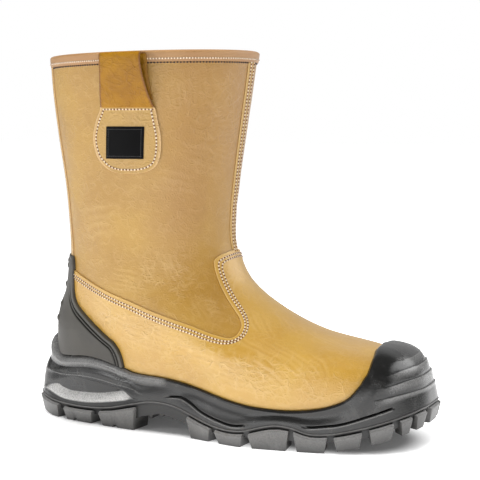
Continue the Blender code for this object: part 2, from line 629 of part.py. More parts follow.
def cleat(x, half_width, half_length):
    """One bar across the tread, narrower at the floor."""
    level = line_value(TREAD, x)
    root = line_value(UNDER, x)
    if root - level > WAIST_CLEAR:
        level = root - WAIST_CLEAT
    sections = []
    for y in (-half_width, half_width):
        foot_y = y - np.sign(y) * CLEAT_DRAFT
        foot_half = half_length - CLEAT_DRAFT
        sections.append([(x - half_length, y, root + CLEAT_ROOT), (x - foot_half, foot_y, level),
                         (x + foot_half, foot_y, level), (x + half_length, y, root + CLEAT_ROOT)])
    return prism(sections)


def make_outsole():
    """Slab with its lugs and cleats joined on."""
    blocks = [lug(*row) for row in LUGS] + [lug(1 - row[1], 1 - row[0], row[2]) for row in LUGS]
    blocks.append(lug(*TOE_LUG))
    blocks += [cleat(*row) for row in CLEATS]
    points, faces = [], []
    for block_points, block_faces in blocks:
        start = len(points)
        points.extend(block_points)
        faces.extend(tuple(start + p for p in face) for face in block_faces)
    tread = make_object("tread_blocks", points, faces)
    tread.hide_render = True
    tread.display_type = "WIRE"
    slab = make_slab()
    join = slab.modifiers.new("tread", "BOOLEAN")
    join.operation = "UNION"
    join.solver = "MANIFOLD"
    join.object = tread
    return slab


def main():
    for thing in list(bpy.data.objects):
        bpy.data.objects.remove(thing)
    boot = bpy.data.objects.new("rigger_boot", None)
    bpy.context.scene.collection.objects.link(boot)
    pieces = [make_upper(), make_binding(), make_front_strip(), make_counter(),
              make_loop("pull_loop_outer", True), make_loop("pull_loop_inner", False),
              make_label(), make_midsole(), make_outsole(), make_insole()]
    for piece in pieces:
        finish(piece)
        piece.parent = boot


main()
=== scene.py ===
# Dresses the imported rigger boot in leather, thread and moulded rubber, in a plain studio
import math

import bmesh
import bpy
import numpy as np
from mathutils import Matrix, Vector


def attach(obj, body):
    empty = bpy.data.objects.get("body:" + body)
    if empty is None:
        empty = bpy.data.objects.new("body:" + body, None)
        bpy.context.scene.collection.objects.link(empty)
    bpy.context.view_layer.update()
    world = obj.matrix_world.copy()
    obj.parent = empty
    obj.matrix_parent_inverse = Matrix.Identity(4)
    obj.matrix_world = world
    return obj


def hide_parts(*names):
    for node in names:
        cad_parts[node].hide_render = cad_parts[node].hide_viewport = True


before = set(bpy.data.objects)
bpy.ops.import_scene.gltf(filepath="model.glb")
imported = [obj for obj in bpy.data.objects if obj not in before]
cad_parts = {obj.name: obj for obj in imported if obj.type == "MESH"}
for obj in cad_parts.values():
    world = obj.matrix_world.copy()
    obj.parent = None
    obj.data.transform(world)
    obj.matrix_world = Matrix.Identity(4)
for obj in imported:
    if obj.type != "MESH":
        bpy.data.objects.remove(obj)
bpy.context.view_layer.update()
print("frame loaded:", ", ".join(sorted(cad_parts)))

# Lengths below are millimetres from the heel, as the boot is drafted: x to the toe, -y outer side, z up.
# u goes round the boot (0 back, 0.25 outer side, 0.5 toe), v goes down from the collar to the feather edge.
draft = {
    "scale": 0.001,
    "originX": 140.74,
    "wall": 1.8,        # shaft leather and lining
    "lap": 1.2,         # vamp and quarters standing over the shaft
    "gap": 0.3,
    "heelAt": 0.14,
    "waistAt": 0.42,
    "ballAt": 0.64,
    "dipFrom": 0.36,
    "dipEase": 0.3,
    "dipEnd": 0.35,
    "archFrom": 0.15,
    "archTo": 0.68,
    "archEase": 0.25,
    "toeInFrom": 0.45,
    "girth": 450.0,     # about one turn of u
    "drop": 270.0,      # about one run of v
    "slopeStep": 1e-3,  # of u or v, for measuring slopes
    "sharpAngle": 50,
}

# back x and z, front x and z, half width at heel, waist and ball, roundness of back and front,
# toe in, arch, dip
lastSections = np.array((
    (0.6, 271.4, 160.0, 274.5, 62, 62, 62, 2.0, 2.0, 0, 0, 0),     # collar
    (2.3, 245.0, 156.0, 246.0, 59, 59, 59, 2.0, 2.0, 0, 0, 0),
    (6.2, 212.0, 151.0, 213.0, 55, 55, 55, 2.0, 2.0, 0, 0, 0),
    (10.8, 178.0, 146.5, 180.0, 50, 50, 50, 2.0, 2.0, 0, 0, 0),
    (13.0, 150.0, 144.0, 152.0, 45, 47, 46, 2.1, 2.0, 0, 0, 0),    # ankle
    (13.6, 126.0, 146.0, 131.0, 41, 45, 43, 2.2, 2.0, 0, 0, 0),
    (12.2, 105.0, 157.5, 108.0, 38, 45, 43, 2.4, 2.0, 0, 0, 0),
    (9.0, 86.0, 183.0, 88.0, 37, 45, 47, 2.5, 2.1, 1, 1, 0),       # vamp
    (7.0, 70.0, 217.0, 72.0, 37, 44, 51, 2.5, 2.3, 3, 2, 0),
    (6.0, 57.0, 259.0, 62.5, 37, 43, 54, 2.5, 2.6, 5, 3, 1),
    (6.0, 46.0, 279.0, 55.0, 37, 42, 55, 2.5, 2.8, 6, 4, 4),
    (7.0, 37.0, 286.0, 42.0, 36, 41, 55, 2.5, 2.9, 6, 5, 7),
    (9.0, 28.0, 288.0, 33.5, 35, 39, 53, 2.5, 2.9, 6, 6, 9),       # feather edge
), float)
soleOutline = np.array((-15.0, 0, 295.5, 0, 42, 46, 60, 2.5, 2.9, 6, 8, 0), float)

# u, z of the edge where vamp and quarters lie over the shaft
seamLine = ((0.0, 118.0), (0.06, 116.5), (0.116, 112.2), (0.173, 105.0), (0.213, 99.5),
            (0.239, 94.8), (0.262, 89.6), (0.285, 85.0), (0.304, 80.6), (0.320, 75.6),
            (0.332, 73.6), (0.345, 74.8), (0.360, 78.0), (0.374, 81.8), (0.385, 86.5),
            (0.391, 91.0), (0.397, 97.5), (0.404, 105.5), (0.409, 114.0), (0.412, 120.5),
            (0.416, 125.0), (0.426, 127.7), (0.444, 129.8), (0.473, 131.4), (0.5, 132.0))

# u, z, thickness and lean of the moulded sole's top edge
lipLine = ((0.0, 62.4, 10.6, 0.0), (0.02, 60.6, 10.4, 0.0), (0.032, 55.6, 9.6, 0.0), (0.044, 51.0, 7.6, 0.0),
           (0.06, 48.2, 6.3, 0.0), (0.09, 49.0, 5.4, 0.0), (0.115, 50.3, 5.0, 0.0), (0.14, 49.0, 4.8, 0.0),
           (0.166, 44.3, 4.4, 0.0), (0.178, 42.2, 4.0, 0.0), (0.21, 41.0, 3.0, 0.0), (0.234, 37.4, 2.8, 0.0),
           (0.259, 33.0, 2.6, 0.0), (0.282, 30.0, 2.6, 0.0), (0.302, 28.4, 2.6, 0.0), (0.323, 28.2, 2.6, 0.0),
           (0.345, 30.0, 2.6, 0.0), (0.364, 33.6, 2.6, 0.0), (0.38, 38.4, 2.7, 0.05), (0.394, 45.5, 3.0, 0.1),
           (0.406, 51.5, 3.4, 0.15), (0.428, 57.8, 4.4, 0.2), (0.466, 62.0, 5.4, 0.2), (0.5, 63.2, 5.6, 0.2))

# x, z of the parting line between midsole and outsole
partingLine = ((-15, 18.4), (-5, 15.5), (9, 13.6), (34, 13.0), (59, 15.0), (83, 20.6), (98, 23.8),
               (112, 23.6), (124, 20.8), (142, 15.2), (160, 12.0), (176, 12.6), (190, 16.4), (201, 18.4),
               (212, 17.2), (224, 13.8), (238, 14.4), (253, 17.4), (270, 22.0), (286, 27.4), (295.5, 31.0))


# Drafting the last

def ease(t):
    t = np.clip(t, 0.0, 1.0)
    return t * t * (3.0 - 2.0 * t)


def bell(distance, width):
    return np.exp(-(distance / width) ** 2)


def smoothRows(table, t):
    table = np.asarray(table, float)
    t = np.clip(np.asarray(t, float), 0, len(table) - 1)
    low = np.minimum(t.astype(int), len(table) - 2)
    f = (t - low)[..., None]
    ends = np.vstack([2 * table[0] - table[1], table, 2 * table[-1] - table[-2]])
    a, b, c, d = (ends[low + k] for k in range(4))
    return b + 0.5 * f * (c - a + f * (2 * a - 5 * b + 4 * c - d + f * (3 * (b - c) + d - a)))


def curveValue(table, at, column=1):
    fine = smoothRows(table, np.linspace(0, len(table) - 1, 40 * len(table)))
    return np.interp(at, fine[:, 0], fine[:, column])


def lineValue(table, at):
    return np.interp(at, *np.array(table, float).T)


def runningMean(values, window):
    return np.convolve(np.pad(values, window // 2, mode="edge"), np.ones(window) / window, mode="valid")


def padRows(values, before, after):
    return np.pad(values, ((before, after), (0, 0)))


def outerHalf(u):
    u = np.asarray(u, float) % 1.0
    return np.minimum(u, 1.0 - u)


def sectionPoints(columns, u):
    (backX, backZ, frontX, frontZ, heelHalf, waistHalf, ballHalf,
     backRound, frontRound, toeIn, arch, dip) = (columns[..., k] for k in range(12))
    turn = np.cos(2 * np.pi * u)
    along = (1 - turn) / 2
    power = np.where(along < 0.5, backRound, frontRound)
    end = (1 - np.abs(turn) ** power) ** (1 / power)
    heel, waist, ball = draft["heelAt"], draft["waistAt"], draft["ballAt"]
    half = np.where(along < waist,
                    heelHalf + (waistHalf - heelHalf) * ease((along - heel) / (waist - heel)),
                    waistHalf + (ballHalf - waistHalf) * ease((along - waist) / (ball - waist)))
    hollow = arch * ease((along - draft["archFrom"]) / draft["archEase"])
    hollow = hollow * ease((draft["archTo"] - along) / draft["archEase"])
    y = np.where(np.sin(2 * np.pi * u) > 0, -half * end, half * end - hollow)
    y = y + toeIn * ease((along - draft["toeInFrom"]) / (1 - draft["toeInFrom"]))
    z = backZ + (frontZ - backZ) * along
    z = z - dip * ease((along - draft["dipFrom"]) / draft["dipEase"]) * ease((1 - along) / draft["dipEnd"])
    return np.stack([backX + (frontX - backX) * along, y, z], -1)


def together(*values):
    return np.broadcast_arrays(*(np.asarray(value, float) for value in values))


def sectionRows(v):
    return smoothRows(lastSections, np.asarray(v) * (len(lastSections) - 1))


def skinBase(u, v):
    return sectionPoints(sectionRows(v), np.asarray(u) % 1.0)


def unit(vectors):
    return vectors / np.maximum(np.linalg.norm(vectors, axis=-1, keepdims=True), 1e-9)


def skinFrame(u, v):
    # slope along u, slope down v, and the normal outwards
    small = draft["slopeStep"]
    along = (skinBase(u + small, v) - skinBase(u - small, v)) / (2 * small)
    low, high = np.maximum(v - small, 0), np.minimum(v + small, 1)
    down = (skinBase(u, high) - skinBase(u, low)) / (high - low)[..., None]
    return along, down, unit(np.cross(down, along))


def skin(u, v, lift):
    u, v, lift = together(u, v, lift)
    return skinBase(u, v) + skinFrame(u, v)[2] * lift[..., None]


def halving(like, isAbove, steps=30):
    # place from 0 to 1 where a line that falls all the way comes down to its mark
    low, high = np.zeros_like(like), np.ones_like(like)
    for _ in range(steps):
        middle = (low + high) / 2
        above = isAbove(middle)
        low, high = np.where(above, middle, low), np.where(above, high, middle)
    return (low + high) / 2


def vAtHeight(u, z):
    u, z = together(u, z)
    return halving(z, lambda v: skinBase(u, v)[..., 2] > z)


def uvAtSide(x, z, outer=True):
    # place on the last that a side view shows at x, z
    x, z = together(x, z)

    def uAt(v):
        rows = sectionRows(v)
        along = np.clip((x - rows[..., 0]) / (rows[..., 2] - rows[..., 0]), 0, 1)
        return np.arccos(1 - 2 * along) / (2 * np.pi)

    v = halving(z, lambda v: skinBase(uAt(v), v)[..., 2] > z)
    return (uAt(v) if outer else 1 - uAt(v)), v


def seamV(u):
    side = outerHalf(u)
    return vAtHeight(side, curveValue(seamLine, side))


def lipV(u):
    side = outerHalf(u)
    return vAtHeight(side, curveValue(lipLine, side))


def lipThick(u):
    return curveValue(lipLine, outerHalf(u), 2)


def offsetPath(u, v, distance, steps=5):
    # moves a line on the last sideways by a distance, staying on it
    u, v = np.array(u, float), np.array(v, float)
    for _ in range(steps):
        along, down, normal = skinFrame(u, v)
        sideways = unit(np.cross(normal, np.gradient(skinBase(u, v), axis=0))) * (distance / steps)
        aa, ad, dd = (along * along).sum(-1), (along * down).sum(-1), (down * down).sum(-1)
        sa, sd = (sideways * along).sum(-1), (sideways * down).sum(-1)
        det = aa * dd - ad * ad
        u = u + (sa * dd - sd * ad) / det
        v = np.clip(v + (sd * aa - sa * ad) / det, 0.0, 1.0)
    return u, v


# Meshes

def placed(points):
    # millimetres from the heel, as metres in the frame
    return (np.asarray(points, float).reshape(-1, 3) - (draft["originX"], 0.0, 0.0)) * draft["scale"]


def addObject(name, data):
    made = bpy.data.objects.new(name, data)
    bpy.context.scene.collection.objects.link(made)
    return made


def meshPiece(name, points, faces, material, marks=None):
    mesh = bpy.data.meshes.new(name)
    mesh.from_pydata(placed(points).tolist(), [], faces)
    for key, values in (marks or {}).items():
        layer = mesh.attributes.new(key, "FLOAT", "POINT")
        layer.data.foreach_set("value", np.asarray(values, np.float32).ravel())
    work = bmesh.new()
    work.from_mesh(mesh)
    bmesh.ops.recalc_face_normals(work, faces=work.faces)
    work.to_mesh(mesh)
    work.free()
    mesh.materials.append(material)
    mesh.shade_smooth()
    mesh.set_sharp_from_angle(angle=math.radians(draft["sharpAngle"]))
    return addObject(name, mesh)


def ringFaces(rows, count, closed=False, first=0):
    r = np.arange(rows if closed else rows - 1)[:, None]
    k = np.arange(count)[None, :]
    below, after = (r + 1) % rows, (k + 1) % count
    quads = np.stack([r * count + k, below * count + k, below * count + after, r * count + after], -1)
    return (first + quads.reshape(-1, 4)).tolist()


def capFaces(first, count):
    half = count // 2
    rungs = [[k, k + 1, (count - k - 1) % count, (count - k) % count] for k in range(half)]
    return [[first + p for p in dict.fromkeys(rung)] for rung in rungs]


def closedFaces(rows, count):
    # rings from top to bottom with both ends shut
    return ringFaces(rows, count) + capFaces(0, count) + capFaces((rows - 1) * count, count)


def sheetFaces(rows, count):
    # two grids of the same size, over then under, closed round the rim
    i, j = np.arange(rows - 1)[:, None], np.arange(count - 1)[None, :]
    quads = np.stack([i * count + j, (i + 1) * count + j, (i + 1) * count + j + 1, i * count + j + 1], -1)
    quads = quads.reshape(-1, 4)
    total, last = rows * count, (rows - 1) * count
    rim = np.concatenate([np.arange(count), np.arange(1, rows) * count + count - 1,
                          last + np.arange(count - 2, -1, -1), np.arange(rows - 2, 0, -1) * count])
    ahead = np.roll(rim, -1)
    sides = np.stack([rim, ahead, total + ahead, total + rim], -1)
    return np.concatenate([quads, total + quads[:, ::-1], sides]).tolist()


def evenPlaces(count):
    return np.linspace(0, 1, count, endpoint=False)


def mirroredPlaces(half):
    half = np.asarray(half, float)
    return np.concatenate([half, 1.0 - half[-2:0:-1]])


def dress(piece, node):
    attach(piece, "root")
    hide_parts(node)
    return piece


# Shader building

def feed(tree, node, inputs):
    # links the sockets among the values, and sets the rest
    for key, value in inputs.items():
        if isinstance(value, bpy.types.NodeSocket):
            tree.links.new(value, node.inputs[key])
        else:
            node.inputs[key].default_value = value
    return node


def addNode(tree, kind, inputs=None, **settings):
    made = tree.nodes.new(kind)
    for key, value in settings.items():
        setattr(made, key, value)
    return feed(tree, made, inputs or {})


def newGroup(name, inputs, outputs):
    tree = bpy.data.node_groups.new(name, "ShaderNodeTree")
    for label, value in inputs.items():
        tree.interface.new_socket(label, in_out="INPUT", socket_type="NodeSocketFloat").default_value = value
    for label in outputs:
        tree.interface.new_socket(label, in_out="OUTPUT", socket_type="NodeSocketFloat")
    return tree, tree.nodes.new("NodeGroupInput"), tree.nodes.new("NodeGroupOutput")


def maths(tree, operation, a, b=0.5):
    return addNode(tree, "ShaderNodeMath", {0: a, 1: b}, operation=operation).outputs[0]


def product(tree, a, b):
    return maths(tree, "MULTIPLY", a, b)


def vectorMaths(tree, operation, inputs):
    return addNode(tree, "ShaderNodeVectorMath", inputs, operation=operation).outputs


def remap(tree, value, fromLow, fromHigh, toLow=0.0, toHigh=1.0):
    inputs = {"Value": value, "From Min": fromLow, "From Max": fromHigh, "To Min": toLow, "To Max": toHigh}
    return addNode(tree, "ShaderNodeMapRange", inputs, interpolation_type="SMOOTHSTEP").outputs["Result"]


def mixColour(tree, share, a, b):
    return addNode(tree, "ShaderNodeMix", {0: share, 6: a, 7: b}, data_type="RGBA").outputs[2]


def objectPlace(tree):
    return addNode(tree, "ShaderNodeTexCoord").outputs["Object"]


def noise(tree, place, scale, detail, roughness=0.5, **settings):
    inputs = {"Vector": place, "Scale": scale, "Detail": detail, "Roughness": roughness}
    return addNode(tree, "ShaderNodeTexNoise", inputs, **settings).outputs


def cellEdges(tree, place, scale, width):
    # 0 on the edges of a net of cells, 1 inside them
    inputs = {"Vector": place, "Scale": scale}
    net = addNode(tree, "ShaderNodeTexVoronoi", inputs, feature="DISTANCE_TO_EDGE").outputs["Distance"]
    return remap(tree, net, 0.0, width)


def colour(red, green, blue):
    # sRGB from 0 to 255 to the linear values that shaders take
    def linear(c):
        c = c / 255
        return c / 12.92 if c <= 0.04045 else ((c + 0.055) / 1.055) ** 2.4
    return (linear(red), linear(green), linear(blue), 1.0)


def warped(tree, scale, amount):
    # object coordinates pushed about by a slow noise, so that no pattern runs straight
    place = objectPlace(tree)
    push = noise(tree, place, scale, detail=2.0)["Color"]
    push = vectorMaths(tree, "SUBTRACT", {0: push, 1: (0.5, 0.5, 0.5)})[0]
    push = vectorMaths(tree, "SCALE", {0: push, "Scale": amount})[0]
    return vectorMaths(tree, "ADD", {0: place, 1: push})[0]


def slowTone(tree, place, scale, detail):
    return remap(tree, noise(tree, place, scale, detail)["Fac"], 0.3, 0.7)


# leather grain: shares of the height, width of the lines, lean and stretch of the crease net
grainCut = {"pebble": 0.12, "fold": 0.8, "crease": 0.8, "pebbleEdge": 0.3, "lineEdge": 0.14, "fineEdge": 0.2,
            "fineScale": 1.9, "fineShare": 0.6, "broken": (0.36, 0.62), "lean": 24,
            "stretch": (0.62, 1.0, 1.0)}


def grainGroup():
    # small cells, fine creases where the wrinkle mark says so, and a slow change of tone; Ridge is the crease
    # net, for the painted highlight on it
    c = grainCut
    inputs = {"Cells": 900.0, "Creases": 190.0, "Wrinkle": 0.5, "Lines": 1.0}
    tree, start, end = newGroup("leatherGrain", inputs, ("Height", "Tone", "Ridge"))
    cells, creases, wrinkle, amount = (start.outputs[key] for key in inputs)
    place = warped(tree, scale=90.0, amount=0.006)
    lean = {"Vector": place, "Rotation": (0.0, math.radians(c["lean"]), 0.0), "Scale": c["stretch"]}
    turned = addNode(tree, "ShaderNodeMapping", lean).outputs[0]
    pebble = cellEdges(tree, place, cells, c["pebbleEdge"])
    lines = maths(tree, "SUBTRACT", 1.0, cellEdges(tree, turned, creases, c["lineEdge"]))
    fine = cellEdges(tree, place, product(tree, creases, c["fineScale"]), c["fineEdge"])
    fine = product(tree, maths(tree, "SUBTRACT", 1.0, fine), c["fineShare"])
    broken = remap(tree, noise(tree, place, scale=160.0, detail=3.0)["Fac"], *c["broken"])
    lines = product(tree, maths(tree, "MAXIMUM", lines, fine), broken)
    ridges = noise(tree, turned, scale=270.0, detail=2.0, roughness=0.45,
                   noise_type="RIDGED_MULTIFRACTAL", normalize=True)["Fac"]
    folds = product(tree, maths(tree, "SUBTRACT", ridges, 0.5), wrinkle)
    crease = product(tree, product(tree, lines, wrinkle), amount)
    height = product(tree, pebble, c["pebble"])
    height = maths(tree, "ADD", height, product(tree, folds, c["fold"]))
    height = maths(tree, "ADD", height, product(tree, crease, c["crease"]))
    feed(tree, end, {"Height": height, "Tone": slowTone(tree, place, 26.0, 4.0), "Ridge": crease})
    return tree


def mouldGroup():
    # moulded rubber: a fine spark-eroded stipple, slow tone and dusty rubbed patches
    tree, start, end = newGroup("mouldedSkin", {"Stipple": 1500.0, "Rub": 60.0}, ("Height", "Tone", "Rubbed"))
    place = warped(tree, scale=200.0, amount=0.001)
    fine = noise(tree, place, start.outputs["Stipple"], detail=2.0, roughness=0.6)["Fac"]
    patch = noise(tree, place, start.outputs["Rub"], detail=5.0, roughness=0.7)["Fac"]
    feed(tree, end, {"Height": fine, "Tone": slowTone(tree, place, 40.0, 3.0),
                     "Rubbed": remap(tree, patch, 0.5, 0.75)})
    return tree


def weaveGroup():
    # plain weave of two crossing sets of threads
    tree, start, end = newGroup("plainWeave", {"Threads": 1100.0}, ("Height", "Tone"))
    place = objectPlace(tree)
    wave = {"Vector": place, "Scale": start.outputs["Threads"], "Distortion": 0.6, "Detail": 1.0}
    sets = [addNode(tree, "ShaderNodeTexWave", wave, wave_type="BANDS", bands_direction=axis).outputs["Fac"]
            for axis in ("X", "Z")]
    feed(tree, end, {"Height": maths(tree, "MAXIMUM", *sets), "Tone": slowTone(tree, place, 90.0, 3.0)})
    return tree


effects = {"grain": grainGroup(), "mould": mouldGroup(), "weave": weaveGroup()}


def startMaterial(name, inputs):
    material = bpy.data.materials.new(name)
    material.use_nodes = True
    tree = material.node_tree
    return material, tree, feed(tree, tree.nodes["Principled BSDF"], inputs)


def useEffect(tree, effect, inputs):
    return addNode(tree, "ShaderNodeGroup", inputs, node_tree=effects[effect]).outputs


def mark(tree, name):
    return addNode(tree, "ShaderNodeAttribute", attribute_type="GEOMETRY", attribute_name=name).outputs["Fac"]


def bump(tree, height, depth, strength):
    # depth in millimetres
    inputs = {"Height": height, "Distance": depth * draft["scale"], "Strength": strength}
    return addNode(tree, "ShaderNodeBump", inputs).outputs["Normal"]


# changes of roughness with tone and rubbing, range of the rubber's speckle, share of the light threads
finishCut = {"coatRough": 0.45, "toneRough": (-0.05, 0.06), "rubbedRough": 0.1,
             "speckle": (0.32, 0.62, 0.55, 1.0), "threadLight": 0.5, "weaveBump": 0.8}


def leatherMaterial(name, s):
    plain = {"Coat Weight": s["coat"], "Coat Roughness": finishCut["coatRough"],
             "Specular IOR Level": s["specular"]}
    material, tree, shader = startMaterial(name, plain)
    grain = useEffect(tree, "grain", {"Cells": s["cells"], "Creases": s["creases"], "Lines": s["lines"],
                                      "Wrinkle": mark(tree, "wrinkle")})
    base = mixColour(tree, grain["Tone"], s["deep"], s["base"])
    # painted highlight on the crease lines, standing in for sheen on their ridges
    base = mixColour(tree, product(tree, grain["Ridge"], s["paintedRidgeHighlight"]), base, s["edge"])
    # paler raw edges, and the painted highlight beside fine creases
    base = mixColour(tree, mark(tree, "rawEdgeAndPaintedHighlight"), base, s["edge"])
    # painted shade: in creases, along laps and seams, inside the pull loops and towards the shaft's front
    base = mixColour(tree, mark(tree, "shade"), base, s["crease"])
    rough = remap(tree, grain["Tone"], 0.0, 1.0, *(s["roughness"] + more for more in finishCut["toneRough"]))
    normal = bump(tree, grain["Height"], s["bump"], s["bumpStrength"])
    feed(tree, shader, {"Base Color": base, "Roughness": rough, "Normal": normal})
    return material


def rubberMaterial(name, s):
    material, tree, shader = startMaterial(name, {"Specular IOR Level": s["specular"]})
    mould = useEffect(tree, "mould", {"Stipple": s["stipple"]})
    base = mixColour(tree, mould["Tone"], s["deep"], s["base"])
    base = mixColour(tree, product(tree, mould["Rubbed"], s["dust"]), base, s["dustAndHighlight"])
    # painted shade in grooves, slots, recesses and between the lugs
    base = mixColour(tree, mark(tree, "shade"), base, s["dark"])
    # painted highlight, speckled, on lit edges, beads and faces turned to the light
    speckle = remap(tree, mould["Height"], *finishCut["speckle"])
    base = mixColour(tree, product(tree, mark(tree, "paintedHighlight"), speckle), base, s["dustAndHighlight"])
    rough = remap(tree, mould["Rubbed"], 0.0, 1.0, s["roughness"], s["roughness"] + finishCut["rubbedRough"])
    normal = bump(tree, mould["Height"], s["bump"], s["bumpStrength"])
    feed(tree, shader, {"Base Color": base, "Roughness": rough, "Normal": normal})
    return material


def clothMaterial(name, s):
    plain = {"Roughness": s["roughness"], "Sheen Weight": s["sheen"], "Specular IOR Level": s["sheen"]}
    material, tree, shader = startMaterial(name, plain)
    weave = useEffect(tree, "weave", {"Threads": s["threads"]})
    base = mixColour(tree, weave["Tone"], s["deep"], s["base"])
    base = mixColour(tree, product(tree, weave["Height"], finishCut["threadLight"]), base, s["light"])
    normal = bump(tree, weave["Height"], s["bump"], finishCut["weaveBump"])
    feed(tree, shader, {"Base Color": base, "Normal": normal})
    return material


def threadMaterial(name, base, deep):
    material, tree, shader = startMaterial(name, {"Roughness": 0.6, "Sheen Weight": 0.2})
    twist = noise(tree, objectPlace(tree), scale=2600.0, detail=1.0)["Fac"]
    base = mixColour(tree, remap(tree, twist, 0.35, 0.65), deep, base)
    feed(tree, shader, {"Base Color": base, "Normal": bump(tree, twist, depth=0.2, strength=0.6)})
    return material


# crease is the colour of the painted shade; edge is the paler colour of raw edges and also that of the
# painted highlights
leathers = {
    "shaft": {"base": colour(178, 137, 54), "deep": colour(166, 124, 44), "crease": colour(146, 98, 44),
              "edge": colour(216, 182, 120), "roughness": 0.44, "coat": 0.2, "specular": 0.7, "cells": 560.0,
              "creases": 185.0, "lines": 1.0, "paintedRidgeHighlight": 0.42, "bump": 0.55, "bumpStrength": 1.0},
    "vamp": {"base": colour(197, 153, 54), "deep": colour(188, 142, 44), "crease": colour(152, 104, 42),
             "edge": colour(226, 192, 128), "roughness": 0.42, "coat": 0.6, "specular": 0.9, "cells": 580.0,
             "creases": 170.0, "lines": 1.0, "paintedRidgeHighlight": 0.42, "bump": 0.55, "bumpStrength": 1.0},
    "binding": {"base": colour(176, 136, 92), "deep": colour(166, 124, 80), "crease": colour(134, 92, 56),
                "edge": colour(150, 106, 66), "roughness": 0.45, "coat": 0.06, "specular": 0.45,
                "cells": 1100.0, "creases": 420.0, "lines": 0.4, "paintedRidgeHighlight": 0.2, "bump": 0.3,
                "bumpStrength": 0.6},
    "strap": {"base": colour(164, 116, 18), "deep": colour(142, 96, 12), "crease": colour(104, 66, 14),
              "edge": colour(112, 72, 40), "roughness": 0.42, "coat": 0.04, "specular": 0.25, "cells": 600.0,
              "creases": 170.0, "lines": 1.1, "paintedRidgeHighlight": 0.2, "bump": 0.6, "bumpStrength": 0.8},
    "tab": {"base": colour(180, 141, 62), "deep": colour(170, 130, 52), "crease": colour(150, 104, 48),
            "edge": colour(206, 168, 114), "roughness": 0.40, "coat": 0.25, "specular": 0.7, "cells": 600.0,
            "creases": 190.0, "lines": 1.0, "paintedRidgeHighlight": 0.2, "bump": 0.55, "bumpStrength": 0.8},
}
# per rubber, dark is the colour of the painted shade, and the pale colour is both that of the dusty patches
# and that of the painted highlights
rubbers = {
    "counter": {"base": colour(68, 65, 59), "deep": colour(60, 57, 52), "dark": colour(8, 8, 8),
                "dustAndHighlight": colour(112, 110, 104), "roughness": 0.5, "specular": 0.5, "stipple": 1500.0,
                "dust": 0.12, "bump": 0.12, "bumpStrength": 0.5},
    "midsole": {"base": colour(22, 21, 20), "deep": colour(16, 16, 15), "dark": colour(8, 8, 8),
                "dustAndHighlight": colour(206, 205, 203), "roughness": 0.24, "specular": 0.65, "stipple": 1100.0,
                "dust": 0.06, "bump": 0.12, "bumpStrength": 0.6},
    "outsole": {"base": colour(66, 65, 64), "deep": colour(55, 54, 53), "dark": colour(12, 12, 12),
                "dustAndHighlight": colour(160, 159, 157), "roughness": 0.40, "specular": 0.6, "stipple": 1100.0,
                "dust": 0.16, "bump": 0.16, "bumpStrength": 0.7},
}
cloths = {
    "lining": {"base": colour(186, 160, 122), "deep": colour(170, 142, 104), "light": colour(200, 176, 140),
               "roughness": 0.9, "sheen": 0.25, "threads": 700.0, "bump": 0.2},
    "label": {"base": colour(14, 14, 15), "deep": colour(9, 9, 10), "light": colour(24, 24, 25),
              "roughness": 0.9, "sheen": 0.05, "threads": 950.0, "bump": 0.25},
    "insole": {"base": colour(64, 64, 68), "deep": colour(54, 54, 58), "light": colour(84, 84, 88),
               "roughness": 0.95, "sheen": 0.25, "threads": 600.0, "bump": 0.25},
}
finish = {name: leatherMaterial(name + "Leather", settings) for name, settings in leathers.items()}
finish |= {name: rubberMaterial(name + "Rubber", settings) for name, settings in rubbers.items()}
finish |= {name: clothMaterial(name + "Cloth", settings) for name, settings in cloths.items()}
finish["thread"] = threadMaterial("creamThread", colour(244, 230, 204), colour(224, 204, 172))
finish["darkThread"] = threadMaterial("brownThread", colour(52, 36, 28), colour(34, 22, 18))
finish["blackThread"] = threadMaterial("blackThread", colour(30, 30, 30), colour(14, 14, 14))
# dark beads in the needle holes: painted shade of the holes
finish["hole"] = threadMaterial("needleHoleShade", colour(128, 66, 40), colour(92, 46, 28))
print("finishes made:", len(finish))


# Creases: rows of soft troughs, each from a place u, z to another, with lines side by side
# from, to, lines, spread, width, depth (millimetres)
shaftCreases = (
    ((0.366, 266), (0.380, 226), 3, 15.0, 1.0, 0.34), ((0.342, 258), (0.356, 230), 2, 7.0, 0.9, 0.30),
    ((0.402, 258), (0.452, 238), 4, 22.0, 0.8, 0.32), ((0.452, 256), (0.408, 232), 3, 16.0, 0.8, 0.30),
    ((0.392, 230), (0.466, 232), 2, 7.0, 0.9, 0.34), ((0.412, 216), (0.474, 214), 3, 11.0, 1.0, 0.38),
    ((0.344, 205), (0.476, 192), 2, 9.0, 1.2, 0.42), ((0.300, 186), (0.410, 176), 2, 10.0, 1.3, 0.32),
    ((0.205, 112), (0.285, 107), 4, 9.0, 0.9, 0.36), ((0.284, 130), (0.280, 104), 2, 6.0, 1.0, 0.36),
    ((0.322, 134), (0.330, 108), 3, 10.0, 1.0, 0.34), ((0.352, 104), (0.334, 80), 3, 9.0, 1.0, 0.34),
    ((0.340, 94), (0.378, 90), 2, 6.0, 1.0, 0.30), ((0.150, 150), (0.250, 158), 2, 12.0, 1.8, 0.30),
    ((0.230, 140), (0.360, 150), 1, 0.0, 7.0, 0.80), ((0.400, 168), (0.480, 160), 1, 0.0, 6.0, 0.70),
    ((0.120, 205), (0.150, 150), 1, 0.0, 9.0, 0.60), ((0.060, 160), (0.120, 170), 3, 22.0, 1.4, 0.35),
    ((0.020, 220), (0.060, 190), 2, 14.0, 1.4, 0.30),
)
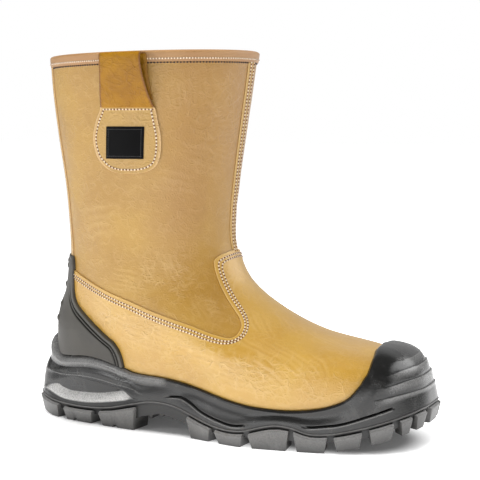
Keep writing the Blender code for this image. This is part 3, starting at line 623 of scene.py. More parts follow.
vampCreases = (
    ((0.150, 96), (0.215, 84), 3, 13.0, 1.2, 0.48), ((0.176, 90), (0.240, 78), 3, 12.0, 1.1, 0.46),
    ((0.190, 80), (0.236, 66), 3, 12.0, 1.1, 0.42), ((0.230, 82), (0.266, 66), 4, 16.0, 1.1, 0.44),
    ((0.252, 76), (0.300, 68), 3, 11.0, 1.0, 0.40), ((0.240, 62), (0.290, 58), 4, 15.0, 1.1, 0.44),
    ((0.272, 64), (0.286, 42), 3, 15.0, 1.1, 0.42), ((0.292, 66), (0.312, 38), 4, 20.0, 1.1, 0.44),
    ((0.262, 52), (0.322, 46), 3, 14.0, 1.1, 0.40), ((0.322, 68), (0.334, 44), 3, 14.0, 1.0, 0.34),
    ((0.372, 74), (0.344, 50), 4, 18.0, 1.0, 0.30), ((0.430, 96), (0.380, 74), 3, 10.0, 1.0, 0.22),
    ((0.480, 82), (0.440, 70), 4, 16.0, 0.9, 0.20), ((0.215, 92), (0.190, 60), 1, 0.0, 7.0, 0.70),
    ((0.300, 70), (0.290, 40), 1, 0.0, 8.0, 0.70),
)
# u, z, reach in u and z, amount of fine wrinkling
wrinklePatches = (
    (0.425, 225, 0.09, 52, 0.75), (0.36, 240, 0.05, 45, 0.55), (0.30, 112, 0.12, 30, 0.60),
    (0.36, 92, 0.05, 26, 0.65), (0.22, 78, 0.10, 26, 1.00), (0.28, 58, 0.09, 30, 1.05),
    (0.34, 52, 0.06, 26, 0.70), (0.43, 84, 0.08, 22, 0.30), (0.10, 190, 0.12, 90, 0.32),
    (0.25, 190, 0.14, 70, 0.34), (0.12, 80, 0.07, 34, 0.70),
)
wrinkleCut = {"least": 0.36, "fade": 1.2}
# jitter as a share of the spread, trim of the length, reach and ridge in widths, rise as a share of the
# depth, shade and light as the strengths of the painted shade in fine troughs and the painted highlight on
# their ridges
creaseCut = {"knots": 10, "jitter": 0.08, "trim": 0.22, "wander": 0.55, "reach": 4, "end": 0.02, "taper": 0.7,
             "ridgeAt": 1.9, "ridgeWide": 1.1, "ridge": 0.6, "rise": 0.22, "fineBelow": 3, "shade": 0.08,
             "light": 0.18}


def creasePaths(families, seed):
    # every line of every family, on both sides of the boot
    c = creaseCut
    chance = np.random.default_rng(seed)
    for mirrored in (False, True):
        for start, stop, lines, spread, width, depth in families:
            run = np.array(((stop[0] - start[0]) * draft["girth"], stop[1] - start[1]))
            side = np.array((-run[1], run[0])) / np.linalg.norm(run)
            for line in range(lines):
                shift = (line - (lines - 1) / 2) * spread / max(lines - 1, 1)
                shift = shift + chance.normal(0, c["jitter"] * spread)
                trim = chance.uniform(0.0, c["trim"], 2) if lines > 1 else (0.0, 0.0)
                share = trim[0] + np.linspace(0, 1, c["knots"]) * (1 - trim[0] - trim[1])
                away = shift + np.cumsum(chance.normal(0, c["wander"], c["knots"])) * min(1.0, width)
                u = start[0] + (stop[0] - start[0]) * share + away * side[0] / draft["girth"]
                z = start[1] + (stop[1] - start[1]) * share + away * side[1]
                u = 1 - u if mirrored else u
                yield skinBase(u, vAtHeight(u, z)), width, depth


def nearestOn(path, spots):
    # distance of each spot from a path, and the share of the path there
    best, at = np.full(len(spots), 1e9), np.zeros(len(spots))
    last = len(path) - 1
    for k in range(last):
        step = path[k + 1] - path[k]
        t = np.clip(((spots - path[k]) @ step) / (step @ step), 0, 1)
        far = np.linalg.norm(spots - path[k] - t[:, None] * step, axis=1)
        at = np.where(far < best, (k + t) / last, at)
        best = np.minimum(best, far)
    return best, at


def creaseLift(points, families, seed):
    # troughs with a low ridge along each side, tapering out at their ends; fine ones get painted shade in the
    # trough and a painted highlight on the ridges
    c = creaseCut
    flat = points.reshape(-1, 3)
    lift, shade, light = np.zeros((3, len(flat)))
    for path, width, depth in creasePaths(families, seed):
        reach = c["reach"] * width
        near = np.all((flat > path.min(0) - reach) & (flat < path.max(0) + reach), axis=1)
        if not near.any():
            continue
        far, at = nearestOn(path, flat[near])
        taper = np.sin(np.pi * np.clip(at, c["end"], 1 - c["end"])) ** c["taper"]
        trough = bell(far, width)
        ridge = bell(far - c["ridgeAt"] * width, c["ridgeWide"] * width)
        lift[near] += c["rise"] * depth * taper * (c["ridge"] * ridge - trough)
        if width < c["fineBelow"]:
            shade[near] = np.maximum(shade[near], c["shade"] * taper * trough)
            light[near] = np.maximum(light[near], c["light"] * taper * ridge)
    return (values.reshape(points.shape[:-1]) for values in (lift, shade, light))


def wrinkleMark(u, z):
    side = outerHalf(u)
    amount = np.full(np.shape(z), wrinkleCut["least"])
    for atU, atZ, reachU, reachZ, most in wrinklePatches:
        far = ((side - atU) / reachU) ** 2 + ((z - atZ) / reachZ) ** 2
        amount = np.maximum(amount, most * np.exp(-far * wrinkleCut["fade"]))
    return amount


# Shaft: a back panel lies over the side panels
shaftCut = {"columnsBack": 34, "columnsSide": 156, "rows": 200, "rowsInside": 14, "backRise": 1.0,
            "backEdge": 0.0885, "edgeStep": 0.0006, "tuck": 0.012, "leather": 1.1, "calmTop": 0.06,
            "calmFoot": 0.03, "rawWide": 0.9, "lapShade": 0.8, "lapWide": 0.7, "seamShade": 0.5,
            "seamWide": 0.9, "paintedFrontShade": 0.42, "paintedFrontShadeFrom": 0.27, "paintedFrontShadeOver": 0.10, "paintedFrontShadeLoss": 0.7, "lossFrom": 0.45,
            "lossOver": 0.3}


def makeShaft():
    c = shaftCut
    near, far = c["backEdge"] - c["edgeStep"], c["backEdge"] + c["edgeStep"]
    place = mirroredPlaces(np.concatenate([np.linspace(0, near, c["columnsBack"]),
                                           np.linspace(far, 0.5, c["columnsSide"])]))
    fall = np.linspace(0, 1, c["rows"])[:, None]
    side = outerHalf(place)[None, :]
    onBack = side < c["backEdge"]
    u = place[None, :] + 0 * fall
    seam = seamV(place)[None, :]
    v = fall * (seam + c["tuck"])
    base = skinBase(u, v)
    lift, shade, light = creaseLift(base, shaftCreases, seed=11)
    top = ease(fall / c["calmTop"])
    calm = top * ease((1 - fall) / c["calmFoot"])
    outside = skin(u, v, lift * calm + np.where(onBack, c["backRise"], 0.0))
    # the back panel's raw edge is paler, and the ridges of the fine creases get a painted highlight
    raw = bell((side - near) * draft["girth"], c["rawWide"]) * onBack + light * calm
    lap = bell((side - far) * draft["girth"], c["lapWide"]) * (side > c["backEdge"])
    # painted shadow on the side panels along the back panel's lap, and on the shaft just above the vamp's
    # edge
    shade = np.maximum(shade, c["lapShade"] * lap)
    shade = np.maximum(shade, c["seamShade"] * bell(np.maximum(seam - v, 0) * draft["drop"], c["seamWide"]))
    # painted shade, deeper towards the front and the collar
    paintedFrontShade = c["paintedFrontShade"] * ease((side - c["paintedFrontShadeFrom"]) / c["paintedFrontShadeOver"])
    shade = np.maximum(shade, paintedFrontShade * (1 - c["paintedFrontShadeLoss"] * ease((fall - c["lossFrom"]) / c["lossOver"])))
    picked = np.linspace(0, c["rows"] - 1, c["rowsInside"]).astype(int)[::-1]
    rows = np.concatenate([outside, skin(u[picked], v[picked], -c["leather"])])
    marks = {"wrinkle": wrinkleMark(u, base[..., 2]), "rawEdgeAndPaintedHighlight": raw, "shade": shade * top}
    marks = {key: padRows(values, 0, c["rowsInside"]) for key, values in marks.items()}
    piece = meshPiece("shaft", rows, ringFaces(len(rows), len(place), True), finish["shaft"], marks)
    return dress(piece, "upper")


liningCut = {"columns": 160, "rows": 60, "outer": -1.2, "inner": -1.8, "top": 0.008}


def makeLining():
    c = liningCut
    u = evenPlaces(c["columns"])
    v = (c["top"] + (1 - c["top"]) * np.linspace(0, 1, c["rows"]))[:, None]
    rows = np.concatenate([skin(u, v, c["inner"]), skin(u, v[::-1], c["outer"])])
    piece = meshPiece("lining", rows, ringFaces(len(rows), len(u), True), finish["lining"])
    return dress(piece, "upper")


# Vamp and quarters: one panel with a cut edge, over the shaft
# edge rows: depth down the panel and lift, and how raw each is
vampCut = {"spans": ((0.14, 40), (0.30, 70), (0.385, 60), (0.42, 60), (0.5, 30)), "rows": 150,
           "edgeRows": ((0.0, 0.15), (0.0, 0.55), (0.0, 0.85), (0.12, 1.08), (0.4, 1.2)),
           "edgeRaw": (0.6, 0.6, 0.6, 0.4, 0.4), "first": 0.9, "slant": 0.2, "calm": 0.05, "calmSteps": 9,
           "quiet": 0.05, "edgeWrinkle": 0.3, "under": 0.15, "underRows": 26, "tuck": 0.002}


def spanPlaces(spans):
    start, half = 0.0, [0.0]
    for end, steps in spans:
        half.extend(np.linspace(start, end, steps + 1)[1:])
        start = end
    return mirroredPlaces(half)


def makeVamp():
    c = vampCut
    u = spanPlaces(c["spans"])
    seam = seamV(u)
    line = skinBase(u, seam)
    run = np.roll(line, -1, 0) - np.roll(line, 1, 0)
    down = skinFrame(u, seam)[1]
    slant = np.maximum(np.linalg.norm(np.cross(unit(run), unit(down)), axis=-1), c["slant"])
    perMm = 1 / (np.linalg.norm(down, axis=-1) * slant)
    calm = np.mean([seamV(u + shift) for shift in np.linspace(-c["calm"], c["calm"], c["calmSteps"])], axis=0)
    edge = [skin(u, np.minimum(seam + depth * perMm, 1), lift) for depth, lift in c["edgeRows"]]
    first = np.minimum(seam + c["first"] * perMm, 1)
    f = np.linspace(1, 0, c["rows"])[:, None]
    v = np.clip(1 - f * (1 - (calm + (first - calm) * f ** 2)), 0, 1)
    uu = np.broadcast_to(u, v.shape).copy()
    base = skinBase(uu, v)
    lift, shade, light = creaseLift(base, vampCreases, seed=23)
    quiet = ease((1 - f) / c["quiet"])
    panel = skin(uu, v, draft["lap"] + lift * quiet)
    back = np.linspace(0, 1, c["underRows"])[:, None]
    under = skin(u, 1 + (seam + c["tuck"] - 1) * back, c["under"])
    rows = np.concatenate([np.array(edge), panel, under])
    before, after = len(edge), len(under)
    wrinkle = wrinkleMark(uu, base[..., 2]) * np.minimum(1, c["edgeWrinkle"] + quiet)
    # the crease ridges get a painted highlight, the edge rows are the paler raw edge, and the creases get
    # painted shade
    raw = padRows(light * quiet, before, after)
    raw[:before] = np.array(c["edgeRaw"])[:, None]
    marks = {"wrinkle": padRows(wrinkle, before, after), "rawEdgeAndPaintedHighlight": raw,
             "shade": padRows(shade * quiet, before, after)}
    piece = meshPiece("vampAndQuarters", rows, ringFaces(len(rows), len(u), True), finish["vamp"], marks)
    return dress(piece, "upper")


# Collar binding: a strip folded over the top edge
bindingCut = {"columns": 420, "depth": 6.2, "trim": 1.0, "crown": 1.7, "turns": 14, "faceRows": 10,
              "backRows": 6, "footThin": 0.7, "swellFrom": 0.15, "swellRate": 3, "crownPower": 0.8,
              "wrinkle": 0.35, "footRaw": 0.8, "clear": 0.1, "footClear": 0.05}


def makeBinding():
    c = bindingCut
    u = evenPlaces(c["columns"])
    wall, gap = draft["wall"], draft["gap"]
    foot = vAtHeight(u, skinBase(u, 0 * u)[..., 2] - c["depth"])
    top = 0 * u
    up = np.array((0.0, 0.0, 1.0))
    half = wall / 2 + gap + c["trim"]
    rows = []
    for share in np.linspace(0, 1, c["faceRows"]):
        swell = math.sin(math.pi * min(1, share * c["swellRate"] + c["swellFrom"]) / 2)
        thick = c["trim"] * (c["footThin"] + (1 - c["footThin"]) * swell)
        rows.append(skin(u, foot * (1 - share), gap + thick))
    for turn in np.linspace(0, math.pi, c["turns"])[1:-1]:
        crown = c["crown"] * math.sin(turn) ** c["crownPower"]
        rows.append(skin(u, top, -wall / 2 + half * math.cos(turn)) + up * crown)
    for share in np.linspace(1, 0, c["backRows"]):
        rows.append(skin(u, foot * (1 - share), -wall - gap - c["trim"]))
    # the hidden side, against the leather
    hidden = ((foot, -wall - gap + c["footClear"]), (top, -wall - c["clear"]), (top, c["clear"]),
              (foot, gap - c["clear"]))
    rows.extend(skin(u, place, lift) for place, lift in hidden)
    rows = np.array(rows)
    raw = np.zeros(rows.shape[:2])
    raw[0] = c["footRaw"]
    marks = {"wrinkle": np.full(raw.shape, c["wrinkle"]), "rawEdgeAndPaintedHighlight": raw, "shade": 0 * raw}
    piece = meshPiece("collarBinding", rows, ringFaces(len(rows), len(u), True), finish["binding"], marks)
    return dress(piece, "collar_binding")


# Narrow strip over the front seam
stripCut = {"half": 4.6, "rows": 120, "columns": 17, "thick": 1.0, "seat": 0.15, "under": 0.05,
            "edgeFrom": 0.8, "edgeOver": 0.2, "edgeThin": 0.35, "rawFrom": 0.86, "rawOver": 0.1,
            "wrinkle": 0.4}


def stripGrid(columns, rows, half):
    # the shaft's half width near the middle of the strip turns millimetres into u
    shaftHalf = lastSections[2, 6]
    u = 0.5 + np.linspace(-1, 1, columns) * half / (2 * np.pi * shaftHalf)
    fall = np.linspace(0, 1, rows)[:, None]
    top = vAtHeight(u, skinBase(u, 0 * u)[..., 2] - bindingCut["depth"] - draft["gap"])
    foot = vAtHeight(u, skinBase(u, seamV(u))[..., 2] + draft["gap"])
    v = top * (1 - fall) + foot * fall
    return np.broadcast_to(u, v.shape).copy(), v


def makeFrontStrip():
    c = stripCut
    u, v = stripGrid(c["columns"], c["rows"], c["half"])
    across = np.abs(np.linspace(-1, 1, c["columns"]))[None, :]
    bulge = np.sqrt(1 - np.clip((across - c["edgeFrom"]) / c["edgeOver"], 0, 1) ** 2)
    over = skin(u, v, c["seat"] + c["thick"] * (c["edgeThin"] + (1 - c["edgeThin"]) * bulge))
    raw = np.clip((across - c["rawFrom"]) / c["rawOver"], 0, 1) + 0 * v
    marks = {"wrinkle": np.full((2,) + v.shape, c["wrinkle"]), "rawEdgeAndPaintedHighlight": np.stack([raw, 0 * raw]),
             "shade": np.zeros((2,) + v.shape)}
    both = np.stack([over, skin(u, v, c["under"])])
    piece = meshPiece("frontStrip", both, sheetFaces(*v.shape), finish["shaft"], marks)
    return dress(piece, "front_strip")


makeShaft()
makeLining()
makeVamp()
makeBinding()
makeFrontStrip()
print("upper made")


# Moulded heel counter with a rim and two grooves along its front edge, and nubs up the back
# share down, u of the front edge, face lift at the edge and along the back
counterRows = ((0.0, 0.094, 1.6, 1.6), (0.05, 0.100, 2.6, 2.3), (0.25, 0.102, 3.4, 2.7),
               (0.34, 0.108, 3.6, 3.2), (0.41, 0.120, 3.8, 4.2), (0.48, 0.140, 3.9, 5.4),
               (0.55, 0.158, 4.0, 6.4), (0.63, 0.168, 4.0, 7.0), (1.0, 0.164, 4.0, 6.6))
# each groove: distance from the edge, and the height below which it shows
counterCut = {"rows": 150, "columns": 220, "soften": 9, "bunch": 0.94, "top": 125.5, "slope": 130.0,
              "seat": 0.005, "grooves": ((3.4, 104.0), (6.0, 97.0)), "grooveWidth": 0.5, "grooveDepth": 1.6,
              "grooveFade": 8, "grooveShade": 1.5, "topInset": 0.3, "rim": 2.4, "rimRise": 0.35,
              "rimEase": 0.8, "rimFall": 0.9, "round": 1.4, "roundDrop": 0.9, "roundSharp": 0.98,
              "under": 0.1, "least": 0.25, "lapFrom": 0.004, "paintedHighlight": 0.35, "highlightFrom": 0.5, "highlightTo": 2.0}
counterNubs = {"places": (-0.042, 0.042), "heights": (120.0, 116.0, 101.6, 86.3, 75.3), "radius": 2.2,
               "rise": 1.1}


def edgeInset(base):
    # how far each place of a grid lies from its two side edges
    steps = np.linalg.norm(np.diff(base, axis=1), axis=-1)
    walked = np.concatenate([np.zeros((len(base), 1)), np.cumsum(steps, axis=1)], axis=1)
    inset = np.minimum(walked, walked[:, -1:] - walked)
    columns = base.shape[1]
    for k in range(columns):
        edge = base[:, -1 if k >= columns // 2 else 0]
        away = np.linalg.norm(base[:, k, None] - edge[None], axis=-1).min(axis=1)
        inset[:, k] = np.minimum(inset[:, k], away)
    return inset


def makeCounter():
    c, n = counterCut, counterNubs
    share = np.linspace(0, 1, c["rows"])
    table = np.array(counterRows).T
    soft = [runningMean(np.interp(share, table[0], column), c["soften"]) for column in table[1:]]
    edgeU, edgeLift, backLift = np.array(soft)[..., None]
    turn = math.pi / 2 * c["bunch"]
    side = (np.sin(np.linspace(-1, 1, c["columns"]) * turn) / math.sin(turn))[None, :]
    u = side * edgeU
    top = vAtHeight(u, c["top"] - c["slope"] * u ** 2)
    v = top + (lipV(u) - c["seat"] - top) * share[:, None]
    base = skinBase(u, v)
    inset = np.minimum(edgeInset(base), np.abs(base[:1, :, 2] - base[..., 2]) + c["topInset"])
    face = edgeLift * side ** 2 + backLift * (1 - side ** 2)
    rim = ease(inset / c["rimEase"]) * ease((c["rim"] + c["rimEase"] - inset) / c["rimFall"])
    face = face + c["rimRise"] * rim
    groove = sum(bell(inset - at, c["grooveWidth"]) * ease((start - base[..., 2]) / c["grooveFade"])
                 for at, start in c["grooves"])
    for atU in n["places"]:
        for atZ in n["heights"]:
            far = np.linalg.norm(base - skinBase(atU, vAtHeight(atU, atZ)), axis=-1) / n["radius"]
            face = face + n["rise"] * np.sqrt(np.clip(1 - far ** 2, 0, 1))
    corner = np.clip(1 - inset / c["round"], 0, 1)
    face = face - c["grooveDepth"] * groove
    face = face - c["roundDrop"] * (1 - np.sqrt(1 - corner ** 2 * c["roundSharp"]))
    under = c["under"] + np.where(v > seamV(u) - c["lapFrom"], draft["lap"], 0.0)
    both = np.stack([skin(u, v, np.maximum(face, under + c["least"])), skin(u, v, under)])
    # painted highlight on the rim along the front edge
    paintedHighlight = c["paintedHighlight"] * ease(inset / c["highlightFrom"]) * ease(c["highlightTo"] - inset)
    # painted shade in the grooves
    marks = {"shade": np.stack([np.clip(c["grooveShade"] * groove, 0, 1), 0 * groove]),
             "paintedHighlight": np.stack([paintedHighlight, 0 * paintedHighlight])}
    piece = meshPiece("heelCounter", both, sheetFaces(*v.shape), finish["counter"], marks)
    return dress(piece, "heel_counter")


# Pull loops: z, stand-off, edge to the heel, edge to the toe, flatness,
# as the strap runs up, over and down behind
loopRun = ((188.8, 1.1, 80.0, 92.0, 0.0), (190.4, 1.1, 73.0, 99.5, 0.0), (194.5, 1.1, 66.5, 106.0, 0.0),
           (202.0, 1.1, 61.0, 109.4, 0.0), (214.0, 1.1, 59.2, 110.8, 0.0), (226.0, 1.1, 62.8, 109.6, 0.0),
           (234.0, 1.2, 67.0, 108.6, 0.0), (240.0, 3.8, 69.0, 107.8, 0.3), (250.6, 7.8, 71.8, 107.2, 0.8),
           (261.6, 11.0, 74.2, 106.8, 1.0), (269.4, 12.0, 74.8, 106.6, 1.0), (273.2, 10.6, 74.8, 106.6, 0.9),
           (274.5, 7.4, 74.8, 106.4, 0.6), (273.0, 4.2, 74.4, 106.0, 0.2), (268.2, 2.8, 74.2, 105.6, 0.0),
           (259.4, 2.7, 73.8, 105.6, 0.0), (248.6, 1.6, 72.0, 106.4, 0.0), (241.0, 1.1, 70.0, 107.4, 0.0))
loopCut = {"rows": 170, "columns": 44, "thick": 1.6, "stand": 1.1, "sewnBelow": 235.5, "sewnShare": 0.5,
           "round": 0.10, "endRound": 4, "edgeThin": 0.8, "behindFrom": 0.76, "dark": 0.85, "darkOver": 3,
           "rawOver": 0.05, "rawBehind": 0.3, "wrinkle": 0.8, "wrinkleBehind": 0.5}
# creases of the strap: share along, share across from, to, depth
strapCreases = ((0.66, 0.05, 0.75, 0.5), (0.60, 0.25, 0.95, 0.4), (0.53, 0.1, 0.6, 0.35),
                (0.475, 0.3, 1.0, 0.45), (0.44, 0.0, 0.55, 0.4), (0.70, 0.3, 1.0, 0.45))
strapCut = {"wave": 0.02, "waves": 9, "phase": 40, "slant": 0.03, "ends": 0.15, "width": 0.007,
            "ridgeAt": 0.014, "ridgeWide": 0.008, "ridge": 0.4, "rise": 0.3, "behind": 0.3, "shade": 0.15}


def loopMiddle(outer, rows, columns):
    run = smoothRows(loopRun, np.linspace(0, len(loopRun) - 1, rows))
    run[:, 1] = np.maximum(run[:, 1], loopCut["stand"])
    z, stand, heelEdge, toeEdge, flat = run.T[..., None]
    across = np.linspace(0, 1, columns)[None, :]
    x = heelEdge * (1 - across) + toeEdge * across
    u, v = uvAtSide(x, z, outer)
    out = np.array((0.0, -1.0 if outer else 1.0, 0.0))
    middle = skin(u, v, stand[0]) + (stand - stand[0])[..., None] * out
    reach = middle @ out
    middle = middle + (flat * (reach.max(axis=1, keepdims=True) - reach))[..., None] * out
    normal = unit(np.cross(np.gradient(middle, axis=1), np.gradient(middle, axis=0))) * (1 if outer else -1)
    return middle, normal, z + 0 * x, across + 0 * x


def strapFolds(along, across):
    # lift and painted shade of the strap's creases
    c = strapCut
    lift, shade = 0 * across, 0 * across
    for at, left, right, depth in strapCreases:
        line = at + c["wave"] * np.sin(across * c["waves"] + at * c["phase"]) + c["slant"] * (across - 0.5)
        ends = ease((across - left) / c["ends"]) * ease((right - across) / c["ends"])
        trough = bell(along - line, c["width"]) * ends
        ridge = bell(np.abs(along - line) - c["ridgeAt"], c["ridgeWide"]) * ends
        lift = lift + c["rise"] * depth * (c["ridge"] * ridge - trough)
        shade = np.maximum(shade, c["shade"] * trough)
    return lift, shade


def makeLoop(name, node, outer):
    c = loopCut
    middle, normal, z, across = loopMiddle(outer, c["rows"], c["columns"])
    along = np.linspace(0, 1, c["rows"])[:, None]
    rim = np.minimum(np.minimum(across, 1 - across), np.minimum(along, 1 - along) * c["endRound"])
    corner = np.clip(1 - rim / c["round"], 0, 1)
    half = c["thick"] / 2 * np.sqrt(1 - corner ** 2 * c["edgeThin"])
    lift, shade = strapFolds(along, across)
    both = np.stack([middle + normal * (half + lift)[..., None],
                     middle - normal * (half - strapCut["behind"] * lift)[..., None]])
    raw = np.clip(1 - rim / c["rawOver"], 0, 1)
    # painted shade on the loop's inner faces above the tab, where the loop hides them from the light
    inside = c["dark"] * ease((z - c["sewnBelow"]) / c["darkOver"])
    behind = along > c["behindFrom"]
    marks = {"wrinkle": np.stack([c["wrinkle"] + 0 * z, c["wrinkleBehind"] + 0 * z]),
             "rawEdgeAndPaintedHighlight": np.stack([raw * (1 - inside * behind), raw * c["rawBehind"]]),
             "shade": np.stack([np.maximum(shade, inside * behind), np.where(behind, shade, inside)])}
    piece = meshPiece(name, both, sheetFaces(*z.shape), finish["strap"], marks)
    piece.data.materials.append(finish["tab"])
    # the sewn tab is the lighter leather
    rows = np.repeat(np.arange(c["rows"] - 1), c["columns"] - 1)
    tab = (z[:-1, 0][rows] < c["sewnBelow"]) & (rows < c["rows"] * c["sewnShare"])
    index = np.zeros(len(piece.data.polygons), int)
    index[:2 * len(rows)] = np.tile(tab, 2)
    piece.data.polygons.foreach_set("material_index", index)
    return dress(piece, node)


# Bare woven label on the outer tab
labelCut = {"lean": 0.10, "x": (70.8, 99.2), "z": (199.6, 222.4), "columns": 60, "rows": 48, "thick": 0.8,
            "seat": loopCut["stand"] + loopCut["thick"] / 2, "clear": 0.1, "round": 0.6, "edgeThin": 0.7,
            "sewnInset": 1.9, "sewnWide": 0.5, "sewnDeep": 0.22}


def labelPlace(x, z):
    return uvAtSide(x + labelCut["lean"] * (z - sum(labelCut["z"]) / 2), z)


def makeLabel():
    c = labelCut
    x, z = np.meshgrid(np.linspace(*c["x"], c["columns"]), np.linspace(*c["z"][::-1], c["rows"]))
    u, v = labelPlace(x, z)
    inset = np.minimum(np.minimum(x - c["x"][0], c["x"][1] - x), np.minimum(z - c["z"][0], c["z"][1] - z))
    corner = np.clip(1 - inset / c["round"], 0, 1)
    sewn = c["sewnDeep"] * bell(inset - c["sewnInset"], c["sewnWide"])
    lift = c["seat"] + c["clear"] + c["thick"] * np.sqrt(1 - c["edgeThin"] * corner ** 2) - sewn
    both = np.stack([skin(u, v, lift), skin(u, v, c["seat"])])
    piece = meshPiece("labelPatch", both, sheetFaces(*z.shape), finish["label"])
    return dress(piece, "label_patch")


makeCounter()
makeLoop("pullLoopOuter", "pull_loop_outer", outer=True)
makeLoop("pullLoopInner", "pull_loop_inner", outer=False)
makeLabel()
print("counter, loops and label made")


# Moulded sole
# x, depth of the step under the lip band, depth of the heel's eye
bandDepths = ((-15, 0.0, 0.0), (-10, 0.3, 0.2), (-4, 1.2, 1.2), (12, 1.5, 2.8), (34, 1.5, 3.2),
              (58, 1.3, 2.6), (76, 0.8, 0.8), (88, 0.2, 0.0), (100, 0.0, 0.0), (295.5, 0.0, 0.0))
# lines of the heel's side in side view: x, z
heelLines = {
    "band": ((-15, 33.5), (-10, 34.5), (6, 38.0), (23, 39.5), (50, 38.0), (66, 34.0), (82, 29.0), (95, 27.5),
             (110, 29.0)),
    "top": ((-15, 20.6), (-11, 21.0), (-4, 26.5), (6, 31.5), (18, 33.5), (45, 32.0), (68, 28.5), (82, 25.0),
            (95, 25.8), (110, 27.5)),
    "fold": ((-15, 20.4), (-11, 20.8), (1, 25.5), (10, 23.4), (22, 22.0), (45, 23.5), (60, 26.6), (68, 28.2),
             (83, 24.8), (95, 25.4), (110, 27.0)),
    "low": ((-15, 20.2), (-11, 20.6), (-2, 20.0), (14, 16.5), (30, 16.0), (45, 17.0), (60, 19.2), (74, 22.0),
            (83, 24.4), (95, 25.0), (110, 26.5)),
}
# middle of the two slots in side view: x, z
slotLine = ((100, 26.2), (111, 27.9), (117, 28.5), (122, 28.0), (130, 25.0), (138.6, 20.9), (147, 18.2),
            (155.6, 16.3), (167.6, 14.6), (178.7, 16.0), (190, 19.5), (201, 21.5), (212, 20.3), (221.8, 17.6),
            (234, 18.6), (246, 20.6), (263.6, 26.4), (277.6, 31.5), (286, 34.5), (295.5, 37.0))
slotEdges = {"band": 3.2, "top": 1.1, "fold": -0.2, "low": -1.0}
# x where each slot starts and over how much, x where it ends and over how much
slotEnds = ((110.0, 5.0, 180.0, 6.0), (219.0, 6.0, 279.0, 2.0))
# grooves round the toe, from the top: u where each starts, how much of it shows, and its u, z
ribLines = (
    (0.452, 0.5, ((0.40, 59.0), (0.459, 62.5), (0.5, 63.0))),
    (0.420, 1.0, ((0.40, 51.5), (0.425, 54.0), (0.447, 56.3), (0.472, 57.4), (0.5, 57.6))),
    (0.412, 1.0, ((0.40, 45.0), (0.418, 46.6), (0.434, 48.1), (0.451, 49.5), (0.483, 50.5), (0.5, 50.6))),
    (0.400, 1.0, ((0.395, 37.0), (0.409, 38.2), (0.436, 40.8), (0.461, 42.0), (0.486, 42.6), (0.5, 42.6))),
)
# across a groove: millimetres down, share of its depth, rows, how much painted shade, how much painted
# highlight
ribProfile = ((-0.7, 0.7, 5, 0.1, 0.0), (0.0, 1.0, 2, 1.0, 0.0), (0.5, -0.5, 2, 0.0, 0.35))
midsoleCut = {"spans": ((0.05, 50), (0.19, 110), (0.36, 90), (0.44, 70), (0.5, 30)), "bendLip": 0.45,
              "bendParting": 0.55, "rise": 0.75, "turns": 6, "crown": 0.002, "floorDrop": 0.8, "cradle": 0.7,
              "floorRows": 5, "floorEnd": 0.1}
# places along the boot in x or u, shares of the wall's height, depths in millimetres
reliefCut = {"heelEnd": 104.0, "heelOver": 8, "eyeFrom": -11, "eyeTo": 84, "eyeOver": 9, "capFrom": 0.385,
             "capOver": 0.02, "hollow": 1.5, "hollowEnd": 98.0, "hollowOver": 48, "hollowBend": 1.5,
             "brow": 0.4, "browCap": 0.04, "ribDeep": 0.9, "ribOver": 0.022, "ribApart": 0.04, "lipBand": 0.2,
             "apart": 0.03, "bandStep": 0.02, "topMost": 0.92, "foldMost": 0.945, "foldApart": 0.75,
             "lowMost": 0.965, "lowApart": 0.012, "lowShare": 0.3, "slotDeep": 2.2, "smoothFrom": 7,
             "smoothKeep": 6}
# u, share of the lip's thickness that is rounded
lipRound = ((0.0, 0.5), (0.04, 0.7), (0.07, 0.85), (0.16, 0.85), (0.2, 0.6), (0.37, 0.6), (0.41, 0.3),
            (0.5, 0.3))


def soleEdge(u, grow=0.0):
    u, small = np.asarray(u, float), draft["slopeStep"]
    columns = soleOutline + 0 * u[..., None]
    edge, ahead, behind = (sectionPoints(columns, (u + step) % 1.0) for step in (0.0, small, -small))
    run = unit((ahead - behind)[..., :2])
    edge[..., 0] += run[..., 1] * grow
    edge[..., 1] -= run[..., 0] * grow
    return edge


def partingPoints(u, grow=0.0, drop=0.0):
    points = soleEdge(u, grow)
    points[..., 2] = curveValue(partingLine, soleEdge(u)[..., 0]) - drop
    return points


def sideWall(u, share):
    c = midsoleCut
    topV = lipV(u)
    frameThere = skinFrame(u, topV)
    head = skinBase(u, topV) + frameThere[2] * (draft["lap"] + draft["gap"] + lipThick(u))[..., None]
    foot = partingPoints(u)
    fall = unit(unit(frameThere[1]) + curveValue(lipLine, outerHalf(u), 3)[..., None] * frameThere[2])
    chord = foot - head
    length = np.linalg.norm(chord, axis=-1, keepdims=True)
    rise = unit(c["rise"] * np.array((0.0, 0.0, 1.0)) - (1 - c["rise"]) * chord / length)
    first, second = head + fall * length * c["bendLip"], foot + rise * length * c["bendParting"]
    share = share[..., None]
    rest = 1 - share
    bend = 3 * rest ** 2 * share * first + 3 * rest * share ** 2 * second
    return rest ** 3 * head + bend + share ** 3 * foot


def wallNormals(points):
    down = np.gradient(points, axis=0)
    along = np.roll(points, -1, 1) - np.roll(points, 1, 1)
    return unit(np.cross(down, along))


def shareAtHeight(u, z):
    return halving(u, lambda share: sideWall(u, share)[..., 2] > z, steps=24)


def lipFillet(u):
    return lineValue(lipRound, outerHalf(u)) * lipThick(u)


